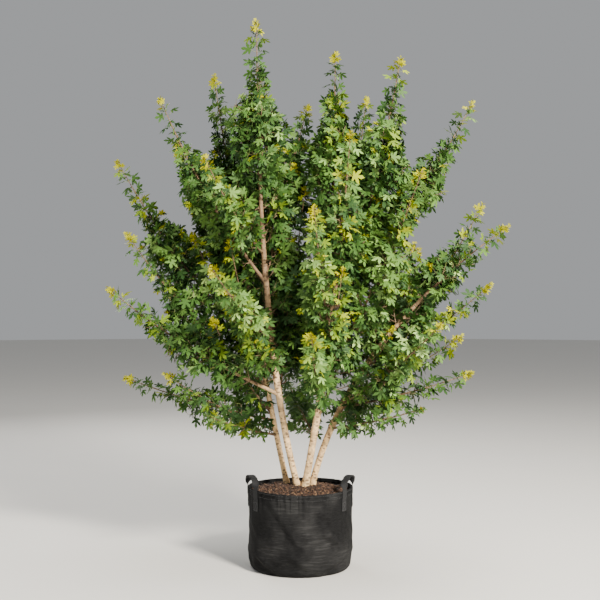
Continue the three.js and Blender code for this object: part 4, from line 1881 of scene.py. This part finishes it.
@dataclass
class Handle:
    """A webbing handle: two legs sewn flat to the wall and a loop that stands above the rim."""

    name: str
    bearing: float
    bag: GrowBag
    width: float = 0.037
    thickness: float = 0.0028
    spacing: float = 0.144
    patch: float = 0.095
    top: float = 0.447
    above_rim: float = 0.001
    gap: float = 0.0004
    squareness: float = 0.85
    edge_roundness: float = 0.45
    face_roundness: float = 0.8
    turn_over: tuple = (0.08, 0.62)
    pinch: float = 0.08
    lean: float = 0.010
    fullness: float = 1.0
    leg_steps: int = 26
    arch_steps: int = 56
    around: int = 28
    box_margin: float = 0.0035
    box_low: float = 0.005
    box_high: float = 0.042
    stitch_pitch: float = 0.0036
    stitch_proud: float = 0.0002

    PLACE = "strap_place"
    STITCH_SHARES = (0.12, 0.5, 0.80)

    def _stations(self) -> list[tuple]:
        """The strap's centreline, from one foot to the other.

        Returns:
            The tangential offset, the height and the turn of each station.
        """
        half, height = self.spacing / 2, self.bag.height
        rise = self.top - self.thickness / 2 - height
        legs = [(half, lerp(height - self.patch, height + self.above_rim, i / self.leg_steps), 0.0)
                for i in range(self.leg_steps)]
        arch = []
        for angle in (math.pi * i / self.arch_steps for i in range(self.arch_steps + 1)):
            offset = half * float(squared(math.cos(angle), self.squareness))
            z = height + self.above_rim + rise * math.sin(angle) ** self.squareness
            arch.append((offset, z, float(smooth(math.sin(angle), *self.turn_over))))
        return legs + arch + [(-offset, z, turn) for offset, z, turn in reversed(legs)]

    def _frames(self) -> tuple:
        """The strap's places and directions, scaled to its fullness.

        Returns:
            Centres, width directions and normals.
        """
        bag, rim = self.bag, self.bag.height
        hem = rim - bag.hem_depth
        centres, radials, turns = [], [], []
        for offset, z, turn in self._stations():
            bearing = math.radians(self.bearing) + offset / bag.rim_radius
            proud = bag.hem_proud * float(smooth(z, hem - 0.004, hem + 0.002))
            lean = self.lean * max(0.0, z - rim) / (self.top - rim)
            centre = bag.on_wall(bearing, min(z, rim), proud + self.gap + self.thickness / 2 - lean)
            centre.z = z
            centres.append(centre)
            radials.append((math.cos(bearing), math.sin(bearing), 0))
            turns.append([turn])
        centres, radials, turns = np.array(centres), np.array(radials), np.array(turns)
        along = unit(np.gradient(centres, axis=0))
        across = unit(np.cross(along, radials))
        width = across * np.cos(turns * QUARTER) - radials * np.sin(turns * QUARTER)
        width = unit(width - along * np.sum(width * along, 1, keepdims=True))
        normal = np.cross(along, width) * (1 + self.fullness * turns)
        return centres, width * (1 - self.pinch * turns), normal

    def _section(self, u: Array) -> tuple:
        """The strap's section: flat faces with round edges.

        Args:
            u: Shares round it.

        Returns:
            Distances across the strap and off its middle.
        """
        wide = squared(np.cos(TURN * u), self.edge_roundness) * self.width / 2
        thick = squared(np.sin(TURN * u), self.face_roundness) * self.thickness / 2
        return wide, thick

    def build(self, webbing: Material, thread: Material) -> None:
        """Makes the strap and the sewn boxes on its feet.

        Args:
            webbing: The strap's finish.
            thread: The sewing thread.
        """
        centres, width, normal = self._frames()
        count = len(centres) - 1
        runs = np.concatenate([[0], np.cumsum(np.linalg.norm(np.diff(centres, axis=0), axis=1))])

        def surface(u: Array, v: Array) -> Array:
            """The strap's face.

            Args:
                u: Shares round the strap.
                v: Shares along it.

            Returns:
                The points.
            """
            station = np.round(v * count).astype(int)
            wide, thick = self._section(u)
            return centres[station] + width[station] * wide[:, None] + normal[station] * thick[:, None]

        def place(u: Array, v: Array) -> Array:
            """Across and along the strap, in metres."""
            wide, thick = self._section(u)
            return np.stack([wide, runs[np.round(v * count).astype(int)], thick], 1)

        strap = rolled("strap_" + self.name, self.around, count, surface, (self.PLACE, place))
        finish_piece(strap, webbing, [self.name])
        lines = np.array([line for side in (1, -1) for line in self._box_stitches(side)])
        add_tubes("stitches_" + self.name, lines, self.bag.thread_radius, 4, thread)

    def _box_stitches(self, side: int) -> list:
        """A sewn box with a cross in it on one leg.

        Args:
            side: 1 or -1, for the leg.

        Returns:
            A line of points for each stitch.
        """
        foot = self.bag.height - self.patch
        half, low, high = self.width / 2 - self.box_margin, foot + self.box_low, foot + self.box_high
        corners = [(-half, low), (half, low), (half, high), (-half, high)]
        seams = list(zip(corners, corners[1:] + corners[:1]))
        seams += [(corners[0], corners[2]), (corners[1], corners[3])]
        lines = []
        for (x0, z0), (x1, z1) in seams:
            count = max(1, int(math.hypot(x1 - x0, z1 - z0) / self.stitch_pitch))
            for i in range(count):
                ends = [(i + share) / count for share in self.STITCH_SHARES]
                lines.append([self._on_strap(side, lerp(x0, x1, s), lerp(z0, z1, s)) for s in ends])
        return lines

    def _on_strap(self, side: int, across: float, z: float) -> Vector:
        """A point on the outer face of a leg.

        Args:
            side: 1 or -1, for the leg.
            across: The distance from the leg's middle.
            z: The height.

        Returns:
            The point.
        """
        centre = math.radians(self.bearing) + side * self.spacing / 2 / self.bag.rim_radius
        spot = self.bag.on_wall(centre, z, self.gap + self.thickness + self.stitch_proud)
        return spot + Vector((-math.sin(centre), math.cos(centre), 0)) * across


@dataclass
class Compost:
    """The bark compost that fills the bag, mounded in the middle, with loose chips on top."""

    bag: GrowBag
    crown_z: float = 0.382
    crown_radius: float = 0.120
    edge_z: float = 0.362
    edge_margin: float = 0.01
    seam: float = 0.0012
    roughness: float = 0.0030
    lumps_a_metre: float = 70
    chips: int = 4200
    chip_margin: float = 0.014
    chip_seed: int = 11
    chip_rise: tuple = (-0.001, 0.0060)
    chip_sizes: tuple = ((0.003, 0.011), (0.002, 0.006), (0.0010, 0.0030))

    FLOOR_PART = (0, 0.1)
    SIDE_PART = (0.1, 0.15)
    TOP_PART = (0.25, 0.75)
    AROUND = 180
    ALONG = 90
    SOIL = SpeckledFinish("compost", (0.008, 0.004, 0.002), (0.045, 0.020, 0.009), 160, 0.95, 0.003)
    SHADES = (
        (0, 0.42, SpeckledFinish("chip_dark", (0.008, 0.004, 0.0025), (0.028, 0.0135, 0.0075), 300)),
        (0.42, 0.88, SpeckledFinish("chip_brown", (0.028, 0.0125, 0.0065), (0.080, 0.036, 0.018), 300)),
        (0.88, 1, SpeckledFinish("chip_tan", (0.085, 0.045, 0.023), (0.220, 0.125, 0.066), 300)),
    )
    CHIP_CORNERS = (
        (-1, -0.7, -1), (0.8, -1, -1), (1, 0.6, -1), (-0.7, 1, -1),
        (-0.8, -0.6, 1), (0.7, -0.8, 1), (0.8, 0.5, 1), (-0.6, 0.8, 1),
    )
    CHIP_FACES = (
        (0, 2, 1), (0, 3, 2), (4, 5, 6), (4, 6, 7), (0, 1, 5), (0, 5, 4),
        (1, 2, 6), (1, 6, 5), (2, 3, 7), (2, 7, 6), (3, 0, 4), (3, 4, 7),
    )

    def height(self, radius: Array) -> Array:
        """The mound's height by distance from the middle."""
        share = smooth(radius, 0.6 * self.crown_radius, self.bag.rim_radius - self.edge_margin)
        return lerp(self.crown_z, self.edge_z, share)

    def _surface(self, u: Array, v: Array) -> Array:
        """A closed lump: its floor, its side and its mounded top.

        Args:
            u: Shares round the bag.
            v: Shares from the floor's middle to the top's.

        Returns:
            The points.
        """
        bearing = TURN * u
        inside = self.bag.cloth + self.seam
        floor, side, top = (part_of(v, *part) for part in (self.FLOOR_PART, self.SIDE_PART, self.TOP_PART))
        z = inside + side * (self.edge_z - inside)
        wall = self.bag.wall(bearing, z) - inside
        on_floor = v < self.FLOOR_PART[1]
        radius = np.where(on_floor, (self.bag.base_radius - inside) * floor, wall) * (1 - top)
        spots = round_axis(radius * self.lumps_a_metre, bearing, np.zeros_like(radius))
        rough = np.array([noise.fractal(Vector(spot), 1.0, 2.1, 3) for spot in spots])
        z = np.where(top > 0, self.height(radius) + self.roughness * rough * smooth(top, 0, 0.05), z)
        return round_axis(radius, bearing, z)

    def _chips(self) -> tuple:
        """Scatters the chips on the mound.

        Returns:
            Their places, and their axes scaled to their sizes.
        """
        rng = np.random.default_rng(self.chip_seed)
        radius = (self.bag.rim_radius - self.chip_margin) * np.sqrt(rng.random(self.chips))
        bearing = rng.uniform(0, TURN, self.chips)
        feet = round_axis(radius, bearing, self.height(radius) + rng.uniform(*self.chip_rise, self.chips))
        turn = rng.uniform(0, TURN, self.chips)
        lean = rng.normal(0, 0.45, (self.chips, 2))
        first = unit(np.stack([np.cos(turn), np.sin(turn), lean[:, 0]], 1))
        third = unit(np.cross(first, np.stack([-np.sin(turn), np.cos(turn), lean[:, 1]], 1)))
        sizes = np.stack([rng.uniform(*sizes, self.chips) for sizes in self.chip_sizes], 1)
        return feet, np.stack([first, np.cross(third, first), third], 1) * sizes[:, :, None]

    def build(self) -> None:
        """Makes the lump and three shades of chips."""
        lump = rolled("compost", self.AROUND, self.ALONG, self._surface)
        finish_piece(lump, self.SOIL.material(), ["soil"])
        corners, faces = np.array(self.CHIP_CORNERS), np.array(self.CHIP_FACES)
        feet, axes = self._chips()
        for index, (start, end, shade) in enumerate(self.SHADES):
            part = slice(int(start * self.chips), int(end * self.chips))
            shape = repeated(corners, faces, feet[part], axes[part])
            piece = joined(f"compost_chips_{index}", *shape, smooth_faces=False)
            finish_piece(piece, shade.material())


# Studio


@dataclass(frozen=True)
class Lamp:
    """A square soft light aimed at a point: its place, target, width, power in watts and colour."""

    name: str
    place: tuple
    target: tuple
    size: float
    power: float
    colour: tuple

    def build(self) -> None:
        """Adds the light."""
        bpy.ops.object.light_add(type="AREA", location=self.place)
        lamp = bpy.context.object
        lamp.name = self.name
        lamp.data.size = self.size
        lamp.data.energy = self.power
        lamp.data.color = self.colour
        lamp.rotation_mode = "QUATERNION"
        lamp.rotation_quaternion = (Vector(self.target) - Vector(self.place)).to_track_quat("-Z", "Y")


@dataclass
class Studio:
    """The camera, the floor and soft light: a key from the front right, a fill, and two from behind."""

    camera_place: tuple = (0.0, -5.07, 1.283)
    lens: float = 63.0
    sensor: float = 36.0
    floor_radius: float = 30.0
    floor_colour: tuple = (0.72, 0.70, 0.66)
    floor_wear: Grain = Grain(2.0, 3)
    sky_colour: tuple = (0.86, 0.88, 0.90)
    sky_strength: float = 0.43
    lamps: tuple = (
        Lamp("key", (3.6, -5.4, 4.5), (0, 0, 1.3), 1.3, 1730, (1.0, 0.945, 0.845)),
        Lamp("fill", (-4.6, -4.0, 2.6), (0, 0, 1.0), 2.2, 55, (0.92, 0.96, 1.0)),
        Lamp("top", (0.4, 0.6, 6.4), (0, 0, 1.2), 3.0, 260, (1.0, 0.98, 0.94)),
        Lamp("back", (-2.6, 4.8, 4.0), (0, 0, 1.3), 3.0, 170, (1.0, 0.98, 0.95)),
    )

    def camera(self) -> None:
        """A level camera at the photograph's place."""
        bpy.ops.object.camera_add(location=self.camera_place, rotation=(QUARTER, 0, 0))
        camera = bpy.context.object
        camera.name = "camera"
        camera.data.lens = self.lens
        camera.data.sensor_width = self.sensor
        bpy.context.scene.camera = camera

    def sky(self) -> None:
        """Plain light from all round."""
        world = bpy.data.worlds.new("studio")
        bpy.context.scene.world = world
        world.use_nodes = True
        sky = next(node for node in world.node_tree.nodes if node.type == "BACKGROUND")
        sky.inputs[0].default_value = (*self.sky_colour, 1)
        sky.inputs[1].default_value = self.sky_strength

    def floor(self) -> None:
        """A wide pale floor."""
        deselect_all()
        bpy.ops.mesh.primitive_circle_add(vertices=96, radius=self.floor_radius, fill_type="NGON")
        floor = bpy.context.object
        floor.name = "floor"
        paint = Paint("floor")
        worn = tuple(channel * 0.97 for channel in self.floor_colour)
        colour = paint.blend(paint.grain(paint.place(), self.floor_wear), self.floor_colour, worn)
        floor.data.materials.append(paint.dress(Base_Color=colour, Roughness=0.9))

    def build(self) -> None:
        """Sets up the camera, the lights and the floor."""
        self.camera()
        for lamp in self.lamps:
            lamp.build()
        self.sky()
        self.floor()


def main() -> None:
    """Builds the studio, the bag, the compost, the limbs and the foliage."""
    logging.basicConfig(level=logging.INFO, format="%(message)s")
    Studio().build()
    bag = GrowBag()
    thread = SpeckledFinish("thread", (0.03, 0.03, 0.033), (0.09, 0.09, 0.095), 900, 0.7, 0.0002).material()
    bag.build(ClothFinish().material(), thread)
    webbing = WebbingFinish().material()
    for name, bearing in (("handle_right", -17), ("handle_left", 197)):
        Handle(name, bearing, bag).build(webbing, thread)
    Compost(bag).build()
    skeleton = Skeleton()
    bark = BarkFinish().material()
    for limb in skeleton.limbs.values():
        mesh = LimbSkin.BOUGH_MESH if limb.parent else LimbSkin.STEM_MESH
        LimbSkin(limb, *mesh).build(bark)
    crown = Crown(skeleton, Space(skeleton))
    crown.grow()
    twig = SpeckledFinish("twig", (0.10, 0.064, 0.032), (0.22, 0.142, 0.074), 90, 0.7, 0.0004)
    FoliageMeshes(crown).build(twig.material(), LeafFinish("stalk", (0.20, 0.24, 0.055)).material())


if __name__ == "__main__":
    main()
